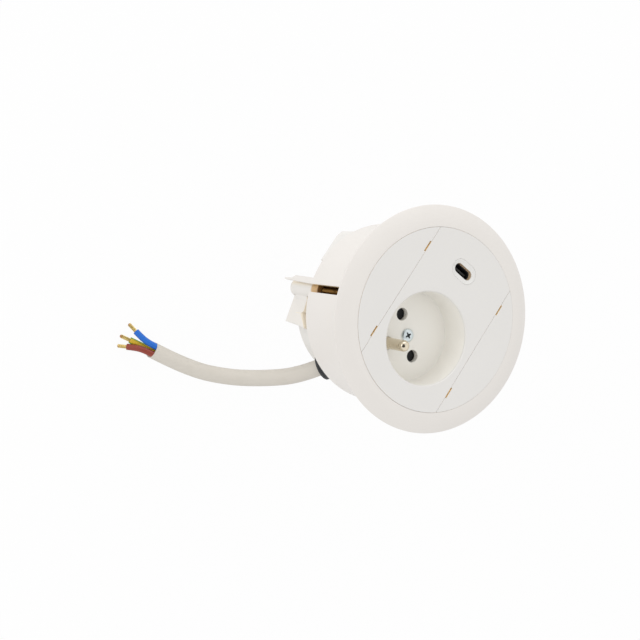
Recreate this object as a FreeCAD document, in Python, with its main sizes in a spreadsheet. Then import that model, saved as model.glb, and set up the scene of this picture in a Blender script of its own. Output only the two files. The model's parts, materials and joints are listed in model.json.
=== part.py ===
import FreeCAD, Part
import os
import re
import Sketcher
from math import cos, pi, radians, sin, tan
from FreeCAD import Placement, Rotation, Vector

# In-desk power module: a round socket and charging port in an 80 mm desk hole.
# The frame has its origin on the desk surface at the hole's centre, +Z out of the face,
# +Y along the face from the socket to the charging port. All lengths are in millimetres.

doc = FreeCAD.newDocument("DeskPowerModule")
sheet = doc.addObject("Spreadsheet::Sheet", "Sizes")

settings = [
    # ring that lies on the desk, with its collar down the hole
    ("flange_radius", "48.0"), ("flange_foot_radius", "47.5"), ("flange_wide_level", "1.1"),
    ("dome_radius", "18.5"), ("ring_top", "3.9"), ("ledge_level", "0.5"), ("collar_radius", "39.75"),
    ("foot_level", "0.0"), ("half_turn", "180.0"), ("full_turn", "360.0"), ("collar_wall", "2.0"),
    ("collar_depth", "38.6"), ("tongue_depth", "65.0"),
    ("stop_wall_start", "1.8"), ("stop_wall_width", "4.5"), ("stop_wall_lean", "2.75"),
    ("stop_wall_back", "4.95"), ("stop_wall_depth", "55.5"), ("tongue_back", "3.65"),
    ("tongue_start_depth", "58.4"), ("tongue_tip", "3.45"), ("wall_top_depth", "36.6"),
    ("slot_width", "3.6"), ("slot_start_depth", "14.0"), ("slot_turn", "199.0"),
    # round insert that fills the ring
    ("panel_radius", "38.7"), ("panel_gap", "0.15"), ("face_level", "4.0"), ("band_half", "22.72"),
    ("cover_gap", "0.12"), ("shoulder_level", "2.0"), ("notch_half", "2.5"), ("notch_offset", "21.2"),
    ("notch_reach", "23.5"), ("leg_wide", "5.0"), ("leg_thick", "1.5"), ("leg_depth", "3.0"),
    ("leg_room", "0.25"), ("leg_a_x", "31.5"), ("leg_a_y", "-4.0"), ("leg_b_x", "24.6"),
    ("leg_b_y", "22.0"), ("barb_reach", "0.6"), ("barb_tall", "1.0"),
    # socket well and what is in its floor
    ("well_radius", "19.55"), ("well_wall", "2.05"), ("well_y", "-9.25"), ("well_depth", "11.0"),
    ("floor_thick", "2.6"), ("mouth_chamfer", "0.45"), ("well_turn", "-36.8"),
    ("contact_offset", "9.5"), ("contact_hole_radius", "2.65"), ("earth_offset", "10.0"),
    ("earth_radius", "2.4"), ("earth_foot_radius", "2.6"), ("earth_room", "0.1"),
    ("earth_tip_level", "3.4"), ("cup_top_level", "3.0"),
    ("socket_head_radius", "2.85"), ("socket_head_tall", "0.95"), ("socket_dome_radius", "5.6"),
    ("socket_shank_radius", "1.5"),
    ("screw_room", "0.15"), ("cross_long", "3.4"), ("cross_wide", "0.75"), ("cross_depth", "0.7"),
    # shutter behind the floor
    ("shutter_half_long", "13.0"), ("shutter_half_wide", "3.3"), ("shutter_back", "6.0"),
    ("shutter_thick", "2.0"), ("shutter_room", "0.2"), ("shutter_travel", "6.1"),
    ("fork_half", "2.4"), ("carrier_radius", "19.4"), ("carrier_depth", "34.0"),
    ("chamber_half", "4.2"), ("chamber_floor", "1.0"),
    # contacts
    ("leaf_gap_half", "2.5"), ("leaf_thick", "0.9"), ("leaf_half_wide", "2.5"), ("leaf_top_drop", "2.1"),
    ("contact_room", "1.0"), ("tab_half", "1.8"), ("tab_thick", "1.0"), ("tab_room", "0.3"),
    ("block_gap", "2.0"), ("block_side", "6.0"), ("block_tall", "5.0"),
    ("terminal_radius", "1.3"), ("terminal_head_radius", "2.4"), ("terminal_head_tall", "1.6"),
    ("terminal_reach", "4.0"), ("terminal_room", "0.05"), ("pin_flange_radius", "3.6"),
    ("pin_flange_depth", "24.0"), ("pin_flange_thick", "1.5"), ("strap_thick", "1.2"),
    # charging port and its board
    ("port_x", "-1.85"), ("port_y", "23.55"), ("oval_long", "12.9"), ("oval_short", "8.4"),
    ("oval_room", "0.05"), ("oval_foot_level", "1.0"), ("dish_long", "11.7"), ("dish_short", "6.6"),
    ("dish_depth", "0.55"), ("mouth_long", "9.55"), ("mouth_short", "4.2"), ("shell_wall", "0.3"),
    ("shell_top", "1.35"), ("shell_floor_thick", "0.5"), ("port_blade_long", "6.7"),
    ("port_blade_thick", "0.8"), ("port_blade_top", "0.6"), ("board_half_long", "14.0"),
    ("board_low_y", "14.0"), ("board_deep", "18.0"), ("board_thick", "1.6"), ("board_depth", "5.5"),
    ("core_long", "16.0"), ("core_deep", "13.0"), ("core_tall", "14.0"), ("core_x", "-12.5"),
    ("core_y", "15.5"), ("coil_room", "2.0"), ("coil_over", "1.2"), ("can_radius", "4.0"),
    ("can_tall", "14.0"), ("can_x", "8.4"), ("can_y", "19.5"), ("bead_radius", "3.0"),
    ("bead_tall", "9.0"), ("bead_x", "8.6"), ("bead_y", "28.0"),
    # housing behind the insert
    ("housing_room", "0.15"), ("housing_top_depth", "2.0"), ("housing_depth", "60.0"),
    ("rear_radius", "33.0"), ("front_wall", "2.2"), ("rear_cavity_radius", "29.0"),
    ("rear_floor", "2.0"), ("side_flat", "25.0"), ("side_flat_high", "15.5"),
    ("side_wall", "2.2"), ("cavity_step_depth", "36.6"), ("block_rear_depth", "50.0"),
    ("block_in_x", "-22.0"), ("block_low_y", "3.0"), ("block_out_x", "-35.4"),
    ("block_mid_y", "16.4"), ("block_tip_x", "-34.3"), ("block_tip_y", "19.85"),
    ("block_in_y", "14.2"),
    # clamp claws and their screws
    ("boss_gap", "0.44"), ("claw_turn", "198.0"), ("boss_radius", "4.06"),
    ("boss_room", "0.34"), ("boss_top_depth", "36.0"), ("claw_rear_depth", "62.0"),
    ("leaf_in", "1.55"), ("leaf_out", "1.05"), ("pad_tall", "0.4"), ("leaf_front_drop", "5.9"),
    ("leaf_rear_reach", "16.2"), ("leaf_foot_rise", "1.2"),
    ("leaf_corner_drop", "0.6"), ("leaf_mid_reach", "17.4"), ("leaf_mid_drop", "4.7"),
    ("leaf_tip_reach", "18.0"), ("leaf_tip_depth", "42.5"), ("bite_reach", "11.0"),
    ("bite_drop", "7.0"), ("step_reach", "10.7"), ("pad_rear_share", "0.64"),
    ("pad_start", "11.6"), ("root_side", "3.0"), ("root_reach", "5.5"),
    ("root_rear_rise", "3.0"), ("screw_end_rise", "0.6"), ("channel_wall", "1.8"),
    ("channel_mouth_half", "3.0"),
    ("flat_radius", "31.3"), ("flat_start_depth", "41.5"), ("flat_reach", "20.0"),
    ("clamp_shank_radius", "1.95"), ("thread_room", "0.1"), ("clamp_head_radius", "3.5"),
    ("clamp_head_tall", "2.9"), ("clamp_seat_depth", "1.5"),
    ("clamp_boss_radius", "4.35"), ("clamp_boss_depth", "6.0"), ("head_room", "0.2"),
    ("tool_long", "4.4"), ("tool_wide", "0.95"), ("tool_depth", "1.6"),
    # screws between insert and housing
    ("join_x", "-29.0"), ("join_y", "17.0"), ("join_shank_radius", "1.45"),
    ("join_head_radius", "2.75"), ("join_head_tall", "2.0"), ("join_seat_depth", "0.3"),
    ("join_end_depth", "14.0"), ("join_boss_radius", "3.6"), ("join_boss_depth", "20.0"),
    # cord outlet
    ("outlet_x", "-7.3"), ("outlet_y", "-35.1"), ("outlet_drop", "8.7"), ("grommet_radius", "6.5"),
    ("grommet_head", "5.0"), ("grommet_neck_radius", "5.0"), ("grommet_neck", "5.0"),
    ("neck_room", "0.05"), ("outlet_boss_radius", "6.6"), ("outlet_boss_long", "5.5"),
    ("cord_radius", "3.75"), ("core_radius", "1.45"), ("core_ring", "2.2"),
    ("strand_radius", "0.85"), ("strand_long", "5.0"), ("bend_share", "0.45"),
    ("blue_turn", "-22.0"), ("earth_turn", "98.0"), ("brown_turn", "218.0"),
    # cord route after the outlet, then where each core ends
    ("cord_a_x", "-10.0"), ("cord_a_y", "-43.3"), ("cord_a_z", "-56.4"),
    ("cord_b_x", "-17.6"), ("cord_b_y", "-51.8"), ("cord_b_z", "-69.1"),
    ("cord_c_x", "-28.1"), ("cord_c_y", "-59.7"), ("cord_c_z", "-79.8"),
    ("cord_d_x", "-42.8"), ("cord_d_y", "-66.0"), ("cord_d_z", "-88.9"),
    ("cord_e_x", "-59.1"), ("cord_e_y", "-68.0"), ("cord_e_z", "-94.6"),
    ("blue_end_x", "-70.8"), ("blue_end_y", "-65.3"), ("blue_end_z", "-98.4"),
    ("earth_end_x", "-70.4"), ("earth_end_y", "-70.0"), ("earth_end_z", "-99.5"),
    ("brown_end_x", "-69.7"), ("brown_end_y", "-73.2"), ("brown_end_z", "-99.6"),
]
for row, (name, value) in enumerate(settings, 1):
    sheet.set("A%d" % row, name)
    sheet.set("B%d" % row, value)
    sheet.setAlias("B%d" % row, name)

worked_out = [
    ("ring_inner_radius", "=collar_radius - collar_wall"),
    ("ring_bore_radius", "=panel_radius + panel_gap"),
    ("rim_level", "=-collar_depth"),
    ("tongue_level", "=-tongue_depth"),
    ("claw_rear_level", "=-claw_rear_depth"),
    ("leaf_tip_level", "=-leaf_tip_depth"),
    ("leaf_front_level", "=leaf_tip_level - leaf_front_drop"),
    ("leaf_mid_level", "=leaf_tip_level - leaf_mid_drop"),
    ("bite_level", "=leaf_tip_level - bite_drop"),
    ("leaf_foot_level", "=claw_rear_level + leaf_foot_rise"),
    ("leaf_corner_level", "=claw_rear_level - leaf_corner_drop"),
    ("root_rear_level", "=claw_rear_level + root_rear_rise"),
    ("screw_end_level", "=claw_rear_level + screw_end_rise"),
    ("pad_rear_level", "=leaf_tip_level - (leaf_tip_level - claw_rear_level) * pad_rear_share"),
    ("stop_wall_level", "=-stop_wall_depth"),
    ("tongue_start_level", "=-tongue_start_depth"),
    ("wall_top_level", "=-wall_top_depth"),
    ("floor_back_level", "=-well_depth - floor_thick"),
    ("cavity_floor_level", "=floor_back_level - shutter_thick - 2 * shutter_room"),
    ("leaf_top_level", "=cavity_floor_level - leaf_top_drop"),
    ("contact_base_depth", "=carrier_depth - chamber_floor - contact_room"),
    ("block_top_depth", "=carrier_depth + block_gap"),
    ("claw_axis_radius", "=ring_inner_radius - boss_gap - boss_radius"),
    ("outlet_depth", "=collar_depth + outlet_drop"),
    ("cover_edge", "=band_half + cover_gap"),
    ("shell_long", "=mouth_long - 2 * oval_room"),
    ("shell_short", "=mouth_short - 2 * oval_room"),
    ("board_top_level", "=-board_depth + board_thick"),
    ("leaf_thickness", "=leaf_in + leaf_out"),
    ("housing_front_radius", "=collar_radius - collar_wall - housing_room"),
    ("cut_past", "=face_level + well_wall"),
]
for row, (name, formula) in enumerate(worked_out, len(settings) + 1):
    sheet.set("A%d" % row, name)
    sheet.set("B%d" % row, formula)
    sheet.setAlias("B%d" % row, name)
doc.recompute()

upright = Rotation(Vector(0, 0, 1), 10)


def number(name):
    if name.startswith("-"):
        return -float(sheet.get(name[1:]))
    return float(sheet.get(name))


def linked(formula):
    return re.sub(r"\b([a-z]+_[a-z_]+)\b", r"Sizes.\1", formula)


def bind(item, field, formula):
    item.setExpression(field, linked(formula))


def place(item, x, y, z, turn=None):
    bind(item, "Placement.Base.x", x)
    bind(item, "Placement.Base.y", y)
    bind(item, "Placement.Base.z", z)
    if turn:
        item.Placement = Placement(Vector(0, 0, 0), upright)
        bind(item, "Placement.Rotation.Angle", turn)


def rod(name, x, y, low, high, radius):
    item = doc.addObject("Part::Cylinder", name)
    bind(item, "Radius", radius)
    bind(item, "Height", "(%s) - (%s)" % (high, low))
    place(item, x, y, low)
    return item


def cone(name, x, y, low, high, low_radius, high_radius):
    item = doc.addObject("Part::Cone", name)
    bind(item, "Radius1", low_radius)
    bind(item, "Radius2", high_radius)
    bind(item, "Height", "(%s) - (%s)" % (high, low))
    place(item, x, y, low)
    return item


def ball(name, x, y, z, radius):
    item = doc.addObject("Part::Sphere", name)
    bind(item, "Radius", radius)
    place(item, x, y, z)
    return item


def box(name, left, right, front, back, low, high):
    item = doc.addObject("Part::Box", name)
    bind(item, "Length", "(%s) - (%s)" % (right, left))
    bind(item, "Width", "(%s) - (%s)" % (back, front))
    bind(item, "Height", "(%s) - (%s)" % (high, low))
    place(item, left, front, low)
    return item


def join(name, *items):
    result = doc.addObject("Part::MultiFuse", name)
    result.Shapes = list(items)
    return result


def cut(name, base, *tools):
    result = doc.addObject("Part::Cut", name)
    result.Base = base
    result.Tool = tools[0] if len(tools) == 1 else join(name + "_tools", *tools)
    return result


def common(name, *items):
    result = doc.addObject("Part::MultiCommon", name)
    result.Shapes = list(items)
    return result


def oval(name, x, y, low, high, long, short):
    reach = "(%s - %s) / 2" % (long, short)
    near = rod(name + "_near", "%s - %s" % (x, reach), y, low, high, "%s / 2" % short)
    far = rod(name + "_far", "%s + %s" % (x, reach), y, low, high, "%s / 2" % short)
    mid = box(name + "_mid", "%s - %s" % (x, reach), "%s + %s" % (x, reach),
              "%s - %s / 2" % (y, short), "%s + %s / 2" % (y, short), low, high)
    return join(name, near, mid, far)


def outline(body, plane, points, bulge=None, bulge_radius=None):
    sketch = body.newObject("Sketcher::SketchObject", body.Name + "_outline")
    face = [item for item in body.Origin.OriginFeatures if item.Role == plane][0]
    sketch.AttachmentSupport = [(face, "")]
    sketch.MapMode = "FlatFace"
    spots = [Vector(number(x), number(y), 0) for x, y in points]
    count = len(spots)
    for index, spot in enumerate(spots):
        after = spots[(index + 1) % count]
        if index == bulge:
            middle = (spot + after) / 2
            radius = number(bulge_radius)
            half = (after - spot).Length / 2
            across = Vector(-(after - spot).y, (after - spot).x, 0).normalize()
            rise = radius - (radius ** 2 - half ** 2) ** 0.5
            if across.dot(middle) < 0:
                across = -across
            sketch.addGeometry(Part.Arc(spot, middle + across * rise, after), False)
        else:
            sketch.addGeometry(Part.LineSegment(spot, after), False)
    for index in range(count):
        after = (index + 1) % count
        end, start = (1, 2) if index == bulge and bulge is not None else (2, 1)
        next_start = 2 if after == bulge and bulge is not None else 1
        sketch.addConstraint(Sketcher.Constraint("Coincident", index, end, after, next_start))
    for index, (x, y) in enumerate(points):
        start = 2 if index == bulge and bulge is not None else 1
        for kind, value in (("DistanceX", x), ("DistanceY", y)):
            number_of = sketch.addConstraint(
                Sketcher.Constraint(kind, index, start, number(value)))
            bind(sketch, "Constraints[%d]" % number_of, value)
    if bulge is not None:
        number_of = sketch.addConstraint(
            Sketcher.Constraint("Radius", bulge, number(bulge_radius)))
        bind(sketch, "Constraints[%d]" % number_of, bulge_radius)
    return sketch


nodes = []


def node(item, name):
    item.Label = name
    nodes.append((item, name))
    return item


# Bezel ring: one turned profile, then trimmed behind the rim and slotted for the claws.
turned = doc.addObject("PartDesign::Body", "ring_turned")
profile = outline(turned, "XZ_Plane", [
    ("ring_bore_radius", "ledge_level"),
    ("ring_bore_radius", "ring_top"),
    ("flange_radius", "flange_wide_level"),
    ("flange_foot_radius", "foot_level"),
    ("collar_radius", "foot_level"),
    ("collar_radius", "tongue_level"),
    ("ring_inner_radius", "tongue_level"),
    ("ring_inner_radius", "ledge_level")], 1, "dome_radius")
ring_turn = turned.newObject("PartDesign::Revolution", "ring_turn")
ring_turn.Profile = profile
ring_turn.ReferenceAxis = (profile, ["V_Axis"])
bind(ring_turn, "Angle", "full_turn")


def claw_side(tag, extra):
    kept = doc.addObject("PartDesign::Body", "kept" + tag)
    sketch = outline(kept, "YZ_Plane", [
        ("-stop_wall_start", "wall_top_level"), ("-stop_wall_start", "rim_level"),
        ("-stop_wall_lean", "tongue_level"), ("-tongue_tip", "tongue_level"),
        ("-tongue_back", "tongue_start_level"), ("-stop_wall_back", "stop_wall_level"),
        ("-stop_wall_width", "wall_top_level")])
    bind(sketch, "AttachmentOffset.Base.z", "ring_inner_radius - collar_wall")
    pad = kept.newObject("PartDesign::Pad", "kept_pad" + tag)
    pad.Profile = sketch
    bind(pad, "Length", "collar_wall * 3")
    place(kept, "0", "0", "0", "slot_turn" + extra)
    slot = box("slot" + tag, "ring_inner_radius - collar_wall", "collar_radius + collar_wall",
               "-slot_width / 2", "slot_width / 2", "tongue_level - collar_wall",
               "-slot_start_depth")
    place(slot, "(ring_inner_radius - collar_wall) * cos(slot_turn%s) + slot_width / 2 * sin(slot_turn%s)"
          % (extra, extra),
          "(ring_inner_radius - collar_wall) * sin(slot_turn%s) - slot_width / 2 * cos(slot_turn%s)"
          % (extra, extra), "tongue_level - collar_wall", "slot_turn" + extra)
    return kept, slot


kept_left, slot_left = claw_side("_left", "")
kept_right, slot_right = claw_side("_right", " - 180")
behind = rod("behind_rim", "0", "0", "tongue_level - collar_wall", "rim_level",
             "collar_radius + collar_wall")
trim = cut("trim", behind, kept_left, kept_right)
node(cut("bezel_ring", turned, trim, slot_left, slot_right), "bezel_ring")

# Front panel: disc with two low shoulders, the socket well and its bosses.
disc = rod("disc", "0", "0", "ledge_level", "face_level", "panel_radius")
axis_x = "claw_axis_radius * cos(claw_turn)"
axis_y = "claw_axis_radius * sin(claw_turn)"
panel_parts = [disc]
panel_cuts = []
for tag, sign in (("_left", ""), ("_right", "-")):
    x, y = sign + "(" + axis_x + ")", sign + "(" + axis_y + ")"
    join_at = (sign + "(join_x)", sign + "(join_y)")
    panel_parts.append(rod("clamp_boss" + tag, x, y, "-clamp_boss_depth", "shoulder_level",
                           "clamp_boss_radius"))
    panel_parts.append(rod("join_boss" + tag, *join_at, "-housing_top_depth", "shoulder_level",
                           "join_boss_radius"))
    panel_cuts.append(rod("clamp_hole" + tag, x, y, "-cut_past - clamp_boss_depth", "cut_past",
                          "clamp_shank_radius + head_room"))
    panel_cuts.append(rod("clamp_sink" + tag, x, y, "-clamp_seat_depth", "cut_past",
                          "clamp_head_radius + head_room"))
    panel_cuts.append(rod("join_hole" + tag, *join_at, "-cut_past - housing_top_depth", "cut_past",
                          "join_shank_radius + screw_room"))
    panel_cuts.append(rod("join_sink" + tag, *join_at, "-join_seat_depth", "cut_past",
                          "join_head_radius + head_room"))
    low, high = ("-panel_radius - cut_past", "-band_half") if sign == "" else (
        "band_half", "panel_radius + cut_past")
    panel_cuts.append(box("shoulder" + tag, low, high, "-panel_radius - cut_past",
                          "panel_radius + cut_past", "shoulder_level", "cut_past"))
    turn = "-" if sign == "" else ""
    for leg in ("_a", "_b"):
        middle_x = "%s(leg%s_x)" % (turn, leg)
        middle_y = "%s(leg%s_y)" % (turn, leg)
        panel_cuts.append(box(
            "leg_slot" + leg + tag,
            middle_x + " - leg_thick / 2 - leg_room - barb_reach",
            middle_x + " + leg_thick / 2 + leg_room + barb_reach",
            middle_y + " - leg_wide / 2 - leg_room", middle_y + " + leg_wide / 2 + leg_room",
            "-cut_past", "cut_past"))
panel_cuts.append(rod("well_way", "0", "well_y", "-cut_past", "cut_past", "well_radius"))
panel_cuts.append(rod("cup_seat", "0", "well_y", "-cut_past", "cup_top_level",
                      "well_radius + well_wall + oval_room"))
panel_cuts.append(cone("well_mouth", "0", "well_y", "face_level - mouth_chamfer",
                       "face_level + mouth_chamfer", "well_radius",
                       "well_radius + 2 * mouth_chamfer"))
floor_holes = join(
    "floor_holes",
    rod("hole_a", "-contact_offset", "0", "floor_back_level - cut_past", "0", "contact_hole_radius"),
    rod("hole_b", "contact_offset", "0", "floor_back_level - cut_past", "0", "contact_hole_radius"),
    rod("earth_hole", "0", "-earth_offset", "floor_back_level - cut_past", "0",
        "earth_foot_radius + earth_room"),
    rod("screw_hole", "0", "0", "floor_back_level - cut_past", "0",
        "socket_shank_radius + screw_room"))
place(floor_holes, "0", "well_y", "0", "well_turn")
panel_cuts.append(oval("oval_seat", "port_x", "port_y", "oval_foot_level", "cut_past",
                       "oval_long", "oval_short"))
panel_cuts.append(oval("oval_through", "port_x", "port_y", "-cut_past", "cut_past",
                       "(mouth_long + shell_wall)", "(mouth_short + shell_wall)"))
panel_body = join("panel_body", *panel_parts)
node(cut("front_panel", panel_body, *panel_cuts), "front_panel")
cup = rod("cup", "0", "well_y", "floor_back_level", "cup_top_level", "well_radius + well_wall")
well_space = rod("well_space", "0", "well_y", "-well_depth", "cut_past", "well_radius")
node(cut("socket_well", cup, well_space, floor_holes), "socket_well")


# Crescent covers over the clamp screws, each held by two snap legs.
def cover(tag, turn):
    plate = rod("cover_plate" + tag, "0", "0", "shoulder_level", "face_level", "panel_radius")
    half = box("cover_half" + tag, "cover_edge", "panel_radius + cut_past",
               "-panel_radius - cut_past", "panel_radius + cut_past", "-cut_past", "cut_past")
    crescent = common("crescent" + tag, plate, half)
    pieces = [crescent]
    for leg in ("_a", "_b"):
        middle_x, middle_y = "leg%s_x" % leg, "leg%s_y" % leg
        front, back = middle_y + " - leg_wide / 2", middle_y + " + leg_wide / 2"
        pieces.append(box("leg" + leg + tag, middle_x + " - leg_thick / 2",
                          middle_x + " + leg_thick / 2", front, back, "-leg_depth",
                          "shoulder_level"))
        pieces.append(box("barb" + leg + tag, middle_x + " - leg_thick / 2 - barb_reach",
                          middle_x + " + leg_thick / 2", front, back, "-leg_depth",
                          "-leg_depth + barb_tall"))
    notches = [box("notch_%s%s" % (side, tag), "0", "notch_reach",
                   "%snotch_offset - notch_half" % sign, "%snotch_offset + notch_half" % sign,
                   "-cut_past", "cut_past") for side, sign in (("far", ""), ("near", "-"))]
    whole = cut("cover" + tag, join("cover_body" + tag, *pieces), *notches)
    place(whole, "0", "0", "0", turn)
    return node(whole, "cover" + tag)


cover("_right", None)
cover("_left", "half_turn")

# Charging port: dished oval insert, metal shell, blade, board and the parts on it.
surround = oval("surround_body", "port_x", "port_y", "oval_foot_level", "face_level",
                "(oval_long - 2 * oval_room)", "(oval_short - 2 * oval_room)")
dish = oval("dish", "port_x", "port_y", "face_level - dish_depth", "cut_past",
            "dish_long", "dish_short")
mouth = oval("mouth", "port_x", "port_y", "-cut_past", "cut_past", "mouth_long", "mouth_short")
node(cut("port_surround", surround, dish, mouth), "port_surround")

shell_body = oval("shell_body", "port_x", "port_y", "board_top_level", "shell_top",
                  "shell_long", "shell_short")
shell_space = oval("shell_space", "port_x", "port_y", "board_top_level + shell_floor_thick",
                   "cut_past", "(shell_long - 2 * shell_wall)", "(shell_short - 2 * shell_wall)")
node(cut("port_shell", shell_body, shell_space), "port_shell")
node(box("port_blade", "port_x - port_blade_long / 2", "port_x + port_blade_long / 2",
         "port_y - port_blade_thick / 2", "port_y + port_blade_thick / 2",
         "board_top_level + shell_floor_thick", "port_blade_top"), "port_blade")
node(box("charger_board", "-board_half_long", "board_half_long", "board_low_y",
         "board_low_y + board_deep", "-board_depth", "board_top_level"), "charger_board")
coil = box("coil", "core_x + coil_room", "core_x + core_long - coil_room", "core_y - coil_over",
           "core_y + core_deep + coil_over", "-board_depth - core_tall + coil_room",
           "-board_depth - coil_room")
iron = box("iron", "core_x", "core_x + core_long", "core_y", "core_y + core_deep",
           "-board_depth - core_tall", "-board_depth")
node(join("transformer", iron, coil), "transformer")
node(rod("large_capacitor", "can_x", "can_y", "-board_depth - can_tall", "-board_depth",
         "can_radius"), "large_capacitor")
node(rod("small_capacitor", "bead_x", "bead_y", "-board_depth - bead_tall", "-board_depth",
         "bead_radius"), "small_capacitor")

# Earth pin, centre screw, shutter, carrier and contacts share the well's turned frame.
ball_level = "(earth_tip_level - earth_radius)"
pin = join("earth_pin", rod("pin_shank", "0", "-earth_offset", "-well_depth", ball_level,
                            "earth_radius"),
           rod("pin_foot", "0", "-earth_offset", "-pin_flange_depth", "-well_depth",
               "earth_foot_radius"),
           ball("pin_tip", "0", "-earth_offset", ball_level, "earth_radius"),
           rod("pin_flange", "0", "-earth_offset", "-pin_flange_depth - pin_flange_thick",
               "-pin_flange_depth", "pin_flange_radius"))
place(pin, "0", "well_y", "0", "well_turn")
node(pin, "earth_pin")

head_top = "(socket_head_tall - well_depth)"
head = common("socket_head",
              rod("socket_head_rod", "0", "0", "-well_depth", head_top, "socket_head_radius"),
              ball("socket_head_ball", "0", "0", head_top + " - socket_dome_radius",
                   "socket_dome_radius"))
shank = rod("socket_shank", "0", "0", "-contact_base_depth", "-well_depth", "socket_shank_radius")
cross = [box("socket_cross_a", "-cross_long / 2", "cross_long / 2", "-cross_wide / 2",
             "cross_wide / 2", head_top + " - cross_depth", "0"),
         box("socket_cross_b", "-cross_wide / 2", "cross_wide / 2", "-cross_long / 2",
             "cross_long / 2", head_top + " - cross_depth", "0")]
socket_screw = cut("socket_screw", join("socket_screw_body", head, shank), *cross)
place(socket_screw, "0", "well_y", "0", "well_turn")
node(socket_screw, "socket_screw")

shutter_top = "(floor_back_level - shutter_room)"
plate = box("shutter_plate", "-shutter_half_long", "shutter_half_long", "-shutter_half_wide",
            "shutter_back", shutter_top + " - shutter_thick", shutter_top)
fork = box("shutter_fork", "-fork_half", "fork_half", "-shutter_half_wide - shutter_back",
           "fork_half", shutter_top + " - 2 * shutter_thick", "0")
shutter = cut("shutter", plate, fork)
place(shutter, "0", "well_y", "0", "well_turn")
node(shutter, "shutter")

carrier_body = rod("carrier_body", "0", "0", "-carrier_depth", "floor_back_level", "carrier_radius")
carrier_cuts = [
    box("shutter_space", "-shutter_half_long - head_room", "shutter_half_long + head_room",
        "-shutter_half_wide - head_room", "shutter_back + shutter_travel + head_room",
        "cavity_floor_level", "0"),
    rod("carrier_screw_hole", "0", "0", "-carrier_depth - cut_past", "0",
        "socket_shank_radius + screw_room"),
    rod("carrier_pin_hole", "0", "-earth_offset", "-pin_flange_depth - pin_flange_thick", "0",
        "earth_foot_radius + earth_room"),
    rod("carrier_pin_room", "0", "-earth_offset", "-carrier_depth - cut_past",
        "-pin_flange_depth", "pin_flange_radius + head_room")]
for side, sign in (("a", "-"), ("b", "")):
    middle = sign + "contact_offset"
    carrier_cuts.append(box("chamber_" + side, middle + " - chamber_half", middle + " + chamber_half",
                            "-chamber_half", "chamber_half", "-carrier_depth + chamber_floor", "0"))
    carrier_cuts.append(box("tab_slot_" + side, middle + " - tab_half - tab_room",
                            middle + " + tab_half + tab_room", "-tab_thick / 2 - tab_room",
                            "tab_thick / 2 + tab_room", "-carrier_depth - cut_past", "0"))
carrier = cut("contact_carrier", carrier_body, *carrier_cuts)
place(carrier, "0", "well_y", "0", "well_turn")
node(carrier, "contact_carrier")


def terminal(tag, middle_x, middle_y, parts):
    block = box("block" + tag, middle_x + " - block_side / 2", middle_x + " + block_side / 2",
                middle_y + " - block_side / 2", middle_y + " + block_side / 2",
                "-block_top_depth - block_tall", "-block_top_depth")
    hole = rod("block_hole" + tag, middle_x, middle_y, "-block_top_depth - block_tall - cut_past",
               "-block_top_depth - block_tall + terminal_reach", "terminal_radius + terminal_room")
    metal = cut("metal" + tag, join("metal_body" + tag, block, *parts), hole)
    place(metal, "0", "well_y", "0", "well_turn")
    low = "(-block_top_depth - block_tall)"
    screw = cut("terminal_screw" + tag, join(
        "terminal_screw_body" + tag,
        rod("terminal_shank" + tag, middle_x, middle_y, low, low + " + terminal_reach",
            "terminal_radius"),
        rod("terminal_head" + tag, middle_x, middle_y, low + " - terminal_head_tall", low,
            "terminal_head_radius")),
        box("terminal_cut" + tag, middle_x + " - terminal_head_radius * 2",
            middle_x + " + terminal_head_radius * 2", middle_y + " - cross_wide / 2",
            middle_y + " + cross_wide / 2", low + " - terminal_head_tall * 2",
            low + " - terminal_head_tall / 2"))
    place(screw, "0", "well_y", "0", "well_turn")
    return metal, screw


for tag, sign in (("_live", "-"), ("_neutral", "")):
    middle = sign + "contact_offset"
    base = "-contact_base_depth"
    pieces = [
        box("leaf_low" + tag, middle + " - leaf_gap_half - leaf_thick", middle + " - leaf_gap_half",
            "-leaf_half_wide", "leaf_half_wide", base, "leaf_top_level"),
        box("leaf_high" + tag, middle + " + leaf_gap_half", middle + " + leaf_gap_half + leaf_thick",
            "-leaf_half_wide", "leaf_half_wide", base, "leaf_top_level"),
        box("leaf_base" + tag, middle + " - leaf_gap_half - leaf_thick",
            middle + " + leaf_gap_half + leaf_thick", "-leaf_half_wide", "leaf_half_wide",
            base, base + " + leaf_thick"),
        box("tab" + tag, middle + " - tab_half", middle + " + tab_half", "-tab_thick / 2",
            "tab_thick / 2", "-block_top_depth - leaf_thick", base + " + leaf_thick")]
    metal, screw = terminal(tag, middle, "0", pieces)
    node(metal, "contact" + tag)
    node(screw, "terminal_screw" + tag)

washer = rod("strap_washer", "0", "-earth_offset", "-pin_flange_depth - pin_flange_thick - strap_thick",
             "-pin_flange_depth - pin_flange_thick", "pin_flange_radius")
strap_leg = box("strap_leg", "-tab_half", "tab_half", "-earth_offset - strap_thick / 2",
                "-earth_offset + strap_thick / 2", "-block_top_depth - leaf_thick",
                "-pin_flange_depth - pin_flange_thick - leaf_thick")
metal, screw = terminal("_earth", "0", "-earth_offset", [washer, strap_leg])
node(metal, "earth_strap")
node(screw, "terminal_screw_earth")


# Rear housing: cup inside the collar, narrower behind the rim, with channels for the claws.
def shoulder_block(tag, turn):
    body = doc.addObject("PartDesign::Body", "shoulder_block" + tag)
    sketch = outline(body, "XY_Plane", [
        ("block_in_x", "block_low_y"), ("block_out_x", "block_low_y"),
        ("block_out_x", "block_mid_y"), ("block_tip_x", "block_tip_y"),
        ("block_in_x", "block_in_y")])
    bind(sketch, "AttachmentOffset.Base.z", "-block_rear_depth")
    pad = body.newObject("PartDesign::Pad", "shoulder_pad" + tag)
    pad.Profile = sketch
    bind(pad, "Length", "block_rear_depth - collar_depth")
    place(body, "0", "0", "0", turn)
    return body


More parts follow.
